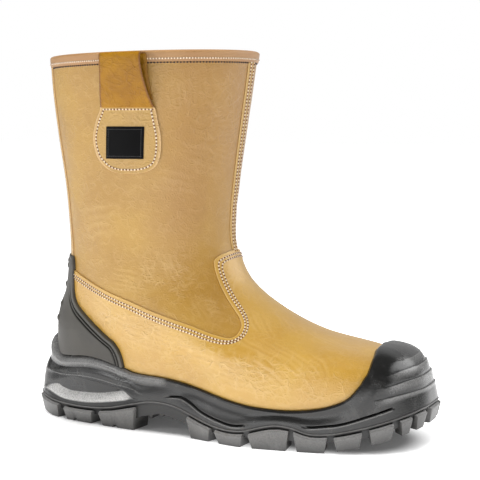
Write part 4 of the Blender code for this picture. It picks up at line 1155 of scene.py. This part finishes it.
def reliefRows(u):
    # knots down the wall: share of the wall, sink, rows up to it, how much painted shade, how much painted
    # highlight
    c = reliefCut
    side, none = outerHalf(u), 0 * u
    x = soleEdge(u)[..., 0]
    heel = ease((c["heelEnd"] - x) / c["heelOver"])
    eye = heel * ease((x - c["eyeFrom"]) / c["eyeOver"]) * ease((c["eyeTo"] - x) / c["eyeOver"])
    slot = sum(ease((x - first) / rise) * ease((last - x) / fall) for first, rise, last, fall in slotEnds)
    cap = ease((side - c["capFrom"]) / c["capOver"])
    bandDeep, deep = (np.maximum(curveValue(bandDepths, x, k), 0) for k in (1, 2))
    length = np.linalg.norm(sideWall(u, none) - sideWall(u, none + 1), axis=-1)
    middle = curveValue(slotLine, x)
    band, top, fold, low = (
        shareAtHeight(u, curveValue(heelLines[key], x) * heel + (middle + slotEdges[key]) * (1 - heel))
        for key in ("band", "top", "fold", "low"))
    fillet = lipFillet(u)
    crown = fillet / length
    knots = [(none, fillet, 0, none, none)]
    for turn in np.linspace(0, math.pi / 2, midsoleCut["turns"])[1:]:
        # painted highlight along the lip's rounded top at the heel
        knots.append((crown * (1 - math.cos(turn)), fillet * (1 - math.sin(turn)), 1, none, 0.25 * heel))
    # the hollow below the lip, deepest at its brow, with painted shade there that fades towards the toe
    band = np.maximum(band, crown + c["lipBand"])
    fading = ease((c["hollowEnd"] - x) / c["hollowOver"])
    hollow = c["hollow"] * fading
    brow = crown + (band - crown) * (c["brow"] * (1 - cap) + c["browCap"] * cap)
    knots.append((brow, hollow, 6, 0.2 * fading, none))
    place, tall = brow, band - brow
    for k, (start, shown, line) in enumerate(ribLines):
        fade = ease((side - start) / c["ribOver"]) * shown
        flat = brow + tall * (k + 1) / (len(ribLines) + 1)
        drawn = shareAtHeight(u, curveValue(line, side))
        place = np.maximum(drawn * cap + flat * (1 - cap), place + c["ribApart"])
        for ahead, sink, rows, dark, paintedHighlight in ribProfile:
            at = place + ahead / length
            level = hollow * (1 - np.clip((at - brow) / tall, 0, 1)) ** c["hollowBend"]
            knots.append((at, level + c["ribDeep"] * sink * fade, rows, dark * fade, paintedHighlight * fade))
        place = at
    band = np.maximum(band, place + c["apart"])
    top = np.minimum(np.maximum(top, band + c["apart"]), c["topMost"])
    fold = np.minimum(np.maximum(fold, top + c["foldApart"] / length), c["foldMost"])
    low = np.minimum(np.maximum(low, fold + c["lowApart"]), c["lowMost"])
    # a slot is a narrow groove with its lit edge below, the heel's eye steps in and folds back outwards;
    # painted shade goes under the band's step, in the slots and in the eye, and painted highlight on the
    # band's edge, the slots' lit edges and the eye's upward fold
    step, slotDeep = np.clip(bandDeep, 0, 1), c["slotDeep"] * slot
    rest = bandDeep * (c["lowShare"] * eye + 1 - eye)
    knots += [
        (band, none, 4, none, 0.25 * step),
        (band + c["bandStep"], bandDeep, 3, 0.45 * step, none),
        (top, bandDeep, 5, 0.3 * step, none),
        (top + 0.6 / length, bandDeep + 0.7 * eye + 0.8 * slotDeep, 2, 0.6 * eye + 0.9 * slot, none),
        (fold, bandDeep + deep + slotDeep, 6, 0.35 * eye + slot, none),
        (fold + (low - fold) * (0.3 * slot + 0.06 * (1 - slot)),
         bandDeep + 0.96 * deep + 0.7 * slotDeep, 2, 0.8 * slot, 0.9 * eye),
        (low, rest, 8, none, 0.9 * eye + 0.3 * slot),
        (low + 0.8 / length, rest + 0.25 * eye, 2, 0.25 * eye, none),
        (np.maximum(1 + none, low + 0.9 / length), none, 6, none, none),
    ]
    rows = [knots[0][:2] + knots[0][3:]]
    for before, after in zip(knots, knots[1:]):
        for f in np.arange(1, after[2] + 1) / after[2]:
            rows.append(tuple(before[k] * (1 - f) + after[k] * f for k in (0, 1, 3, 4)))
    share, sink, dark, paintedHighlight = np.array(rows).swapaxes(0, 1)
    first, keep = c["smoothFrom"], c["smoothKeep"]
    sink[first:-1] = (sink[first - 1:-2] + keep * sink[first:-1] + sink[first + 1:]) / (keep + 2)
    return np.minimum(share, 1.0), sink, dark, paintedHighlight


def makeMidsole():
    c = midsoleCut
    u = spanPlaces(c["spans"])
    share, sink, dark, paintedHighlight = reliefRows(u)
    smooth = np.array([sideWall(u, s) for s in share])
    wall = smooth - wallNormals(smooth) * sink[..., None]
    inner = draft["lap"] + draft["gap"]
    topV, flat = lipV(u), lipThick(u) - lipFillet(u)
    rise = np.linspace(1, c["floorEnd"], c["floorRows"])
    rows = [skin(u, topV + (1 - topV) * f, inner + c["cradle"]) for f in rise]
    rows[0][..., 2] = skinBase(u, 1 + 0 * u)[..., 2] - c["floorDrop"]
    for turn in np.linspace(0, math.pi / 2, c["turns"])[:-1]:
        rows.append(skin(u, topV - c["crown"] * math.sin(turn), inner + flat * (1 - math.cos(turn))))
    marks = {"shade": padRows(dark, len(rows), 0), "paintedHighlight": padRows(paintedHighlight, len(rows), 0)}
    rows = np.concatenate([np.array(rows), wall])
    piece = meshPiece("midsole", rows, closedFaces(len(rows), len(u)), finish["midsole"], marks)
    return dress(piece, "midsole")


# Outsole: slab with a bead under the parting line, lugs round it and cleats across it
treadLine = ((-17, 5.0), (-7, 1.6), (3, 0.0), (232, 0.0), (245, 2.0), (258, 4.6), (272, 8.4), (284, 12.6),
             (296, 17.0))
underLine = ((-17, 10.5), (3, 7.0), (80, 7.0), (90, 11.0), (106, 14.5), (122, 11.0), (134, 7.0), (232, 7.0),
             (258, 10.5), (284, 19.0), (296, 23.0))
# u from, u to, drop of the top edge below the parting line, place of a dent in the foot
lugs = ((0.030, 0.0945, 2.6), (0.1055, 0.146, 3.4, 0.40), (0.1545, 0.1925, 3.4, 0.43), (0.239, 0.260, 3.2),
        (0.2645, 0.288, 2.8), (0.2925, 0.324, 3.2), (0.328, 0.356, 2.6), (0.362, 0.3885, 3.2),
        (0.396, 0.424, 3.0), (0.4335, 0.450, 2.8), (0.458, 0.478, 2.6))
toeLug = (0.4895, 0.5105, 2.4)
# x, half width, half length
cleats = ((22, 10, 6), (46, 13, 6), (68, 14, 6), (94, 37, 2.6), (103, 37, 2.6), (112, 37, 2.6),
          (121, 37, 2.6), (148, 20, 6), (170, 25, 6), (192, 28, 6), (214, 26, 6), (236, 20, 5), (256, 13, 5))
# edge: how far out and how far down each row of the bead and the slab's side lies; the bead's rows get a
# painted highlight, and the slab's side below it painted shade, dark between the lugs
outsoleCut = {"spans": ((0.05, 40), (0.19, 70), (0.36, 90), (0.44, 60), (0.5, 30)), "undercut": 2.6,
              "edge": ((-3.0, 0.25), (0.0, 0.25), (0.4, 0.4), (0.6, 0.75), (0.6, 1.1), (0.3, 1.6),
                       (-0.6, 2.3), (-1.4, 3.4)),
              "edgeHighlight": (0.0, 0.0, 0.25, 0.25, 0.0, 0.0, 0.0, 0.0, 0.0, 0.0),
              "edgeShade": (0.0, 0.0, 0.0, 0.0, 0.0, 0.4, 0.75, 0.85, 0.9, 0.9),
              "cleatDraw": 1.5, "cleatRoot": 1.2, "waistClear": 9.0, "waistCleat": 3.5,
              "round": 0.45, "roundOver": 24, "roundShape": 0.6}
# the last entry is the painted highlight at each corner of a lug, brightest along the top bevel
lugCut = {"proud": 2.0, "bevel": 1.9, "bevelDrop": 1.2, "seat": 4.0, "seatFall": 0.8, "root": 1.6,
          "footIn": 0.4, "footSlope": 2.0, "draw": 0.0025, "reach": 21.0, "reachEnd": 13.0,
          "longBetween": (0.1, 0.38),
          "steps": 5, "dentHalf": (0.05, 0.06), "dentDeep": 1.6, "dentNext": 0.75,
          "paintedHighlight": (0.2, 1.0, 0.35, 0.0, 0.0, 0.0)}


def lugBlock(uFrom, uTo, drop, dent=0.0):
    c = lugCut
    longFrom, longTo = c["longBetween"]
    reach = c["reach"] if longFrom < outerHalf((uFrom + uTo) / 2) < longTo else c["reachEnd"]
    share = np.linspace(0, 1, c["steps"])
    raised = 0 * share
    if dent:
        inner, outer = c["dentHalf"]
        share = np.array((0.0, dent - outer, dent - inner, dent + inner, dent + outer, c["dentNext"], 1.0))
        raised = c["dentDeep"] * np.array((0, 0, 1, 1, 0, 0, 0))
    top = uFrom + (uTo - uFrom) * share
    foot = uFrom + c["draw"] + (uTo - uFrom - 2 * c["draw"]) * share
    crest = partingPoints(top)[..., 2] - drop
    footX = soleEdge(foot)[..., 0]
    level = lineValue(treadLine, footX) + raised
    root = lineValue(underLine, footX) + c["root"]
    corners = ((top, -c["seat"], crest - c["seatFall"]), (top, c["proud"] - c["bevel"], crest),
               (top, c["proud"], crest - c["bevelDrop"]), (foot, -c["footIn"], level),
               (foot, c["footSlope"] - reach, level), (foot, -reach, root))
    rings = []
    for place, grow, z in corners:
        points = soleEdge(place, grow)
        points[..., 2] = z
        rings.append(points)
    return np.stack(rings, axis=1)


def cleatBlock(x, halfWidth, halfLength):
    c = outsoleCut
    level, root = lineValue(treadLine, x), lineValue(underLine, x)
    if root - level > c["waistClear"]:
        level = root - c["waistCleat"]
    sections = []
    for y in (-halfWidth, halfWidth):
        footY, footHalf = y - np.sign(y) * c["cleatDraw"], halfLength - c["cleatDraw"]
        sections.append([(x - halfLength, y, root + c["cleatRoot"]), (x - footHalf, footY, level),
                         (x + footHalf, footY, level), (x + halfLength, y, root + c["cleatRoot"])])
    return np.array(sections)


def makeSlab():
    c = outsoleCut
    u = spanPlaces(c["spans"])
    rows = [partingPoints(u, grow, drop) for grow, drop in c["edge"]]
    under = soleEdge(u, -c["undercut"])
    under[..., 2] = lineValue(underLine, under[..., 0])
    rows = np.array(rows + [rows[-1] * 0.5 + under * 0.5, under])
    marks = {"paintedHighlight": np.repeat(c["edgeHighlight"], len(u)), "shade": np.repeat(c["edgeShade"], len(u))}
    piece = meshPiece("outsole", rows, closedFaces(len(rows), len(u)), finish["outsole"], marks)
    return dress(piece, "outsole")


def makeTread():
    c = outsoleCut
    mirrored = [(1 - row[1], 1 - row[0]) + row[2:] for row in lugs]
    blocks = [(lugBlock(*row), lugCut["paintedHighlight"]) for row in list(lugs) + mirrored + [toeLug]]
    blocks += [(cleatBlock(*row), (0.0,) * 4) for row in cleats]
    points, faces, paintedHighlight = [], [], []
    for block, dustAndHighlight in blocks:
        start, (sections, corners) = len(points), block.shape[:2]
        paintedHighlight.extend(dustAndHighlight * sections)
        points.extend(block.reshape(-1, 3).tolist())
        faces.extend(ringFaces(sections, corners, first=start))
        faces.append([start + k for k in range(corners)][::-1])
        faces.append([start + (sections - 1) * corners + k for k in range(corners)])
    piece = meshPiece("tread", points, faces, finish["outsole"], {"paintedHighlight": paintedHighlight, "shade": np.zeros(len(paintedHighlight))})
    work = bmesh.new()
    work.from_mesh(piece.data)
    sharp = math.radians(c["roundOver"])
    edges = [edge for edge in work.edges if edge.is_manifold and edge.calc_face_angle() > sharp]
    bmesh.ops.bevel(work, geom=edges, offset=c["round"] * draft["scale"], segments=2, profile=c["roundShape"],
                    affect="EDGES")
    work.to_mesh(piece.data)
    work.free()
    piece.data.shade_smooth()
    piece.data.set_sharp_from_angle(angle=math.radians(draft["sharpAngle"]))
    return dress(piece, "outsole")


insoleCut = {"columns": 160, "rise": 0.025, "bend": 0.8, "edge": -2.6, "lean": -0.5}


def makeInsole():
    c = insoleCut
    u = evenPlaces(c["columns"])
    rows = [skin(u, 1 - c["rise"], c["edge"] + c["lean"]), skin(u, 1 - c["rise"] * c["bend"], c["edge"]),
            skin(u, 1, c["edge"])]
    piece = meshPiece("insole", rows, closedFaces(len(rows), len(u)), finish["insole"])
    return dress(piece, "insole")


makeMidsole()
makeSlab()
makeTread()
makeInsole()
print("sole made")


# Stitching, by one Geometry Nodes tree: threads along polylines with a dark bead between them for the painted
# shade of each needle hole
# sizes in millimetres, and finishes
stitchInputs = ("Pitch", "Length", "Width", "Rise", "Hole", "Thread", "Needle")
stitchKinds = {
    "seam": (2.5, 0.80, 0.72, 0.45, 0.64, "thread", "hole"),
    "binding": (2.1, 0.84, 0.60, 0.42, 0.50, "thread", "hole"),
    "dark": (2.3, 0.80, 0.62, 0.45, 0.30, "darkThread", "hole"),
    "label": (1.6, 0.7, 0.34, 0.26, 0.2, "blackThread", "blackThread"),
}
stitchCut = {"seed": 7, "turn": (0.0, 0.06, 0.10), "thread": (8, 5), "hole": (6, 4)}


def stitchTree():
    tree = bpy.data.node_groups.new("stitchRows", "GeometryNodeTree")
    kinds = ("Geometry",) + ("Float",) * 5 + ("Material",) * 2
    for label, kind in zip(("Geometry",) + stitchInputs, kinds):
        tree.interface.new_socket(label, in_out="INPUT", socket_type="NodeSocket" + kind)
    tree.interface.new_socket("Geometry", in_out="OUTPUT", socket_type="NodeSocketGeometry")
    given, end = tree.nodes.new("NodeGroupInput").outputs, tree.nodes.new("NodeGroupOutput")

    def add(kind, inputs=None, **settings):
        return addNode(tree, kind, inputs, **settings).outputs[0]

    def scatter(points, fineness, rotation, size, material):
        ball = add("GeometryNodeMeshUVSphere", {"Segments": fineness[0], "Rings": fineness[1], "Radius": 1.0})
        ball = add("GeometryNodeSetShadeSmooth", {"Geometry": ball})
        scale = add("ShaderNodeCombineXYZ", dict(enumerate(size)))
        laid = add("GeometryNodeInstanceOnPoints", {"Points": points, "Instance": ball, "Rotation": rotation,
                                                    "Scale": scale})
        return add("GeometryNodeSetMaterial", {"Geometry": laid, "Material": material})

    line = add("GeometryNodeMeshToCurve", {0: given["Geometry"]})
    even = add("GeometryNodeResampleCurve", {"Curve": line, "Length": given["Pitch"]}, mode="LENGTH")
    tangent = add("GeometryNodeInputTangent")
    normal = add("GeometryNodeInputNamedAttribute", {"Name": "rowNormal"}, data_type="FLOAT_VECTOR")
    align = "FunctionNodeAlignRotationToVector"
    lie = add(align, {"Vector": tangent}, axis="X")
    lie = add(align, {"Rotation": lie, "Vector": normal}, axis="Z", pivot_axis="X")
    most = stitchCut["turn"]
    tilt = add("FunctionNodeRandomValue", {0: [-angle for angle in most], 1: most, "Seed": stitchCut["seed"]},
               data_type="FLOAT_VECTOR")
    turned = add("FunctionNodeRotateRotation", {0: lie, 1: tilt}, rotation_space="LOCAL")
    size = [given[key] for key in ("Length", "Width", "Rise")]
    threads = scatter(even, stitchCut["thread"], turned, size, given["Thread"])
    step = vectorMaths(tree, "SCALE", {0: tangent, "Scale": product(tree, given["Pitch"], 0.5)})[0]
    between = add("GeometryNodeSetPosition", {"Geometry": even, "Offset": step})
    holes = scatter(between, stitchCut["hole"], lie, [given["Hole"]] * 3, given["Needle"])
    both = addNode(tree, "GeometryNodeJoinGeometry")
    for sewn in (holes, threads):
        tree.links.new(sewn, both.inputs[0])
    tree.links.new(add("GeometryNodeRealizeInstances", {"Geometry": both.outputs[0]}), end.inputs[0])
    return tree


sewing = stitchTree()


def sew(name, kind, rows, node):
    # rows: list of (points, normals) in millimetres
    mesh = bpy.data.meshes.new(name)
    points, edges, normals = [], [], []
    for path, out in rows:
        start = len(points)
        points.extend(placed(path).tolist())
        normals.append(np.asarray(out))
        edges.extend((start + k, start + k + 1) for k in range(len(path) - 1))
    mesh.from_pydata(points, edges, [])
    layer = mesh.attributes.new("rowNormal", "FLOAT_VECTOR", "POINT")
    layer.data.foreach_set("vector", np.concatenate(normals).astype(np.float32).ravel())
    guide = addObject(name + "Guide", mesh)
    sewn = guide.modifiers.new("sewing", "NODES")
    sewn.node_group = sewing
    sockets = {item.name: item.identifier for item in sewing.interface.items_tree if item.in_out == "INPUT"}
    for key, value in zip(stitchInputs, stitchKinds[kind]):
        sewn[sockets[key]] = finish[value] if isinstance(value, str) else value * draft["scale"]
    guide.update_tag()
    ready = guide.evaluated_get(bpy.context.evaluated_depsgraph_get())
    plain = bpy.data.meshes.new_from_object(ready)
    plain.name = name
    bpy.data.objects.remove(guide)
    return dress(addObject(name, plain), node)


def rowOnSkin(u, v, lift):
    return skin(u, v, lift), skinFrame(u, v)[2]


# distances from the edge that a row follows, lifts over the leather, and counts of places along rows
rowCut = {"seam": (3.0, 5.3), "seamEnds": (0.10, 0.90), "seamLift": 0.1, "seamSteps": 3000, "round": 1.4,
          "roundStep": 0.4, "binding": 4.0, "collar": 0.7, "collarLift": 0.1, "collarSteps": 500,
          "strip": 2.3, "stripSteps": 160, "lift": 0.02, "tab": 3.0, "tabTop": 1.0, "tabLift": 0.03,
          "tabRun": 6.3, "tabSteps": 300, "tabSoften": 12, "acrossLift": 0.25, "acrossSteps": 40,
          "labelSink": 0.12, "labelSteps": 24}


def roundedRow(u, v, reach):
    # evenly spaced places along a line, its corners rounded over a reach to either side
    step = rowCut["roundStep"]
    walked = np.concatenate([[0.0], np.cumsum(np.linalg.norm(np.diff(skinBase(u, v), axis=0), axis=1))])
    at = np.arange(0.0, walked[-1], step)
    window = 2 * int(rowCut["round"] * reach / step) + 1
    return (runningMean(np.interp(at, walked, values), window) for values in (u, v))


def tabRows(outer):
    # edge of the sewn tab moved inwards, as seen from the side, and a row across under the loop
    c = rowCut
    top = loopCut["sewnBelow"] - c["tabTop"]
    run = smoothRows(loopRun, np.linspace(0, c["tabRun"], c["tabSteps"]))
    outline = np.concatenate([run[::-1, [2, 0]], run[:, [3, 0]]])
    step = np.gradient(outline, axis=0)
    path = outline + unit(np.stack([-step[:, 1], step[:, 0]], -1)) * c["tab"]
    for _ in range(c["tabSoften"]):
        path[1:-1] = (path[:-2] + 2 * path[1:-1] + path[2:]) / 4
    path = path[path[:, 1] < top]
    across = np.linspace((path[0, 0], top), (path[-1, 0], top), c["acrossSteps"])
    lift = labelCut["seat"] + c["tabLift"]
    return [rowOnSkin(*uvAtSide(*line.T, outer), over) for line, over in
            ((path, lift), (across, lift + c["acrossLift"]))]


def labelRows():
    c = labelCut
    inset = c["sewnInset"]
    (left, right), (low, high) = ((ends[0] + inset, ends[1] - inset) for ends in (c["x"], c["z"]))
    corners = np.array(((left, low), (right, low), (right, high), (left, high), (left, low)))
    lift = c["seat"] + c["clear"] + c["thick"] - rowCut["labelSink"]
    return [rowOnSkin(*labelPlace(*np.linspace(a, b, rowCut["labelSteps"]).T), lift)
            for a, b in zip(corners, corners[1:])]


def sewAll():
    c = rowCut
    # two rows along the edge of vamp and quarters
    u = np.linspace(*c["seamEnds"], c["seamSteps"])
    seam = seamV(u)
    rows = [rowOnSkin(*offsetPath(*roundedRow(u, seam, away), -away), draft["lap"] + c["seamLift"])
            for away in c["seam"]]
    sew("seamStitches", "seam", rows, "upper")
    # light row along the collar binding, dark row at its foot
    u = np.linspace(0, 1, c["collarSteps"])
    top = skinBase(u, 0 * u)[..., 2]
    row = rowOnSkin(u, vAtHeight(u, top - c["binding"]), draft["gap"] + bindingCut["trim"] + c["lift"])
    sew("bindingStitches", "binding", [row], "collar_binding")
    row = rowOnSkin(u, vAtHeight(u, top - bindingCut["depth"] - c["collar"]), c["collarLift"])
    sew("collarStitches", "dark", [row], "upper")
    # two rows down the front strip
    u, v = stripGrid(2, c["stripSteps"], c["strip"])
    rows = [rowOnSkin(u[:, k], v[:, k], stripCut["seat"] + stripCut["thick"] + c["lift"]) for k in (0, 1)]
    sew("stripStitches", "seam", rows, "front_strip")
    # round the tabs, and round the label
    sew("tabStitchesOuter", "seam", tabRows(True), "pull_loop_outer")
    sew("tabStitchesInner", "seam", tabRows(False), "pull_loop_inner")
    sew("labelStitches", "label", labelRows(), "label_patch")


sewAll()
print("stitches sewn")


# Studio: a white floor that runs out into white surroundings, and large soft lights
# floorGlow: distances from the boot's middle line between which the glow rises, and its strength at both
studio = {"ambient": 0.21, "floor": 0.95, "floorHalf": 9, "floorGlow": (0.036, 0.060, 0.06, 0.82),
          "floorLong": 0.097, "cameraAt": (0.38579, -0.87220, 0.2297),
          "cameraAlong": (-0.39456, 0.91395, -0.09498), "lens": 97.6, "sensor": 36.0}
white = (1.0, 1.0, 1.0, 1.0)
# place, aim, width and height, power, what it lights
softLights = {
    "low": ((-0.02, -0.97, 0.08), (0.05, 0.0, 0.07), (0.9, 0.25), 1.7, "both"),
    "bounce": ((-0.45, -0.50, 0.01), (0.0, -0.02, 0.04), (0.5, 0.4), 0.3, "both"),
    "key": ((-0.80, -0.95, 0.60), (0.0, 0.0, 0.14), (0.30, 0.30), 1.8, "both"),
    "top": ((0.04, -0.14, 1.40), (0.04, 0.0, 0.08), (1.0, 0.8), 19.5, "matt"),
    "back": ((0.15, 1.30, 0.70), (0.0, 0.0, 0.10), (2.4, 1.2), 4.0, "both"),
    "side": ((0.95, 0.50, 0.62), (0.12, 0.0, 0.06), (0.9, 0.8), 7.5, "gloss"),
    "heel": ((-1.05, -0.40, 0.34), (-0.12, 0.0, 0.04), (0.7, 0.5), 1.1, "gloss"),
}


def makeFloor():
    plain = {"Base Color": (studio["floor"],) * 3 + (1.0,), "Roughness": 0.9, "Specular IOR Level": 0.1,
             "Emission Color": white}
    material, tree, shader = startMaterial("paleFloor", plain)
    axes = addNode(tree, "ShaderNodeSeparateXYZ", {0: objectPlace(tree)}).outputs
    beyond = maths(tree, "SUBTRACT", maths(tree, "ABSOLUTE", axes["X"]), studio["floorLong"])
    beyond = maths(tree, "MAXIMUM", beyond, 0.0)
    far = addNode(tree, "ShaderNodeCombineXYZ", {0: beyond, 1: axes["Y"]}).outputs[0]
    far = vectorMaths(tree, "LENGTH", {0: far})["Value"]
    feed(tree, shader, {"Emission Strength": remap(tree, far, *studio["floorGlow"])})
    half = studio["floorHalf"]
    corners = [(-half, -half, 0), (half, -half, 0), (half, half, 0), (-half, half, 0)]
    mesh = bpy.data.meshes.new("floor")
    mesh.from_pydata(corners, [], [(0, 1, 2, 3)])
    mesh.materials.append(material)
    floor = addObject("floor", mesh)


def aimed(thing, place, along):
    thing.location = place
    thing.rotation_euler = along.to_track_quat("-Z", "Y").to_euler()


def makeStudio():
    scene = bpy.context.scene
    makeFloor()
    world = bpy.data.worlds.new("studio")
    world.use_nodes = True
    tree = world.node_tree
    seen = addNode(tree, "ShaderNodeLightPath").outputs["Is Camera Ray"]
    strength = remap(tree, seen, 0.0, 1.0, studio["ambient"], 1.0)
    feed(tree, tree.nodes["Background"], {"Color": white, "Strength": strength})
    scene.world = world
    for name, (at, aim, size, power, lit) in softLights.items():
        lamp = bpy.data.lights.new(name, "AREA")
        lamp.shape = "RECTANGLE"
        lamp.size, lamp.size_y = size
        lamp.energy = power
        light = addObject(name, lamp)
        aimed(light, at, Vector(aim) - Vector(at))
        light.visible_camera = False
        light.visible_glossy = lit != "matt"
        light.visible_diffuse = lit != "gloss"
    lens = bpy.data.cameras.new("photoView")
    lens.lens = studio["lens"]
    lens.sensor_width = studio["sensor"]
    scene.camera = addObject("photoView", lens)
    aimed(scene.camera, studio["cameraAt"], Vector(studio["cameraAlong"]))
    scene.view_settings.view_transform = "Standard"


makeStudio()
print("studio made")
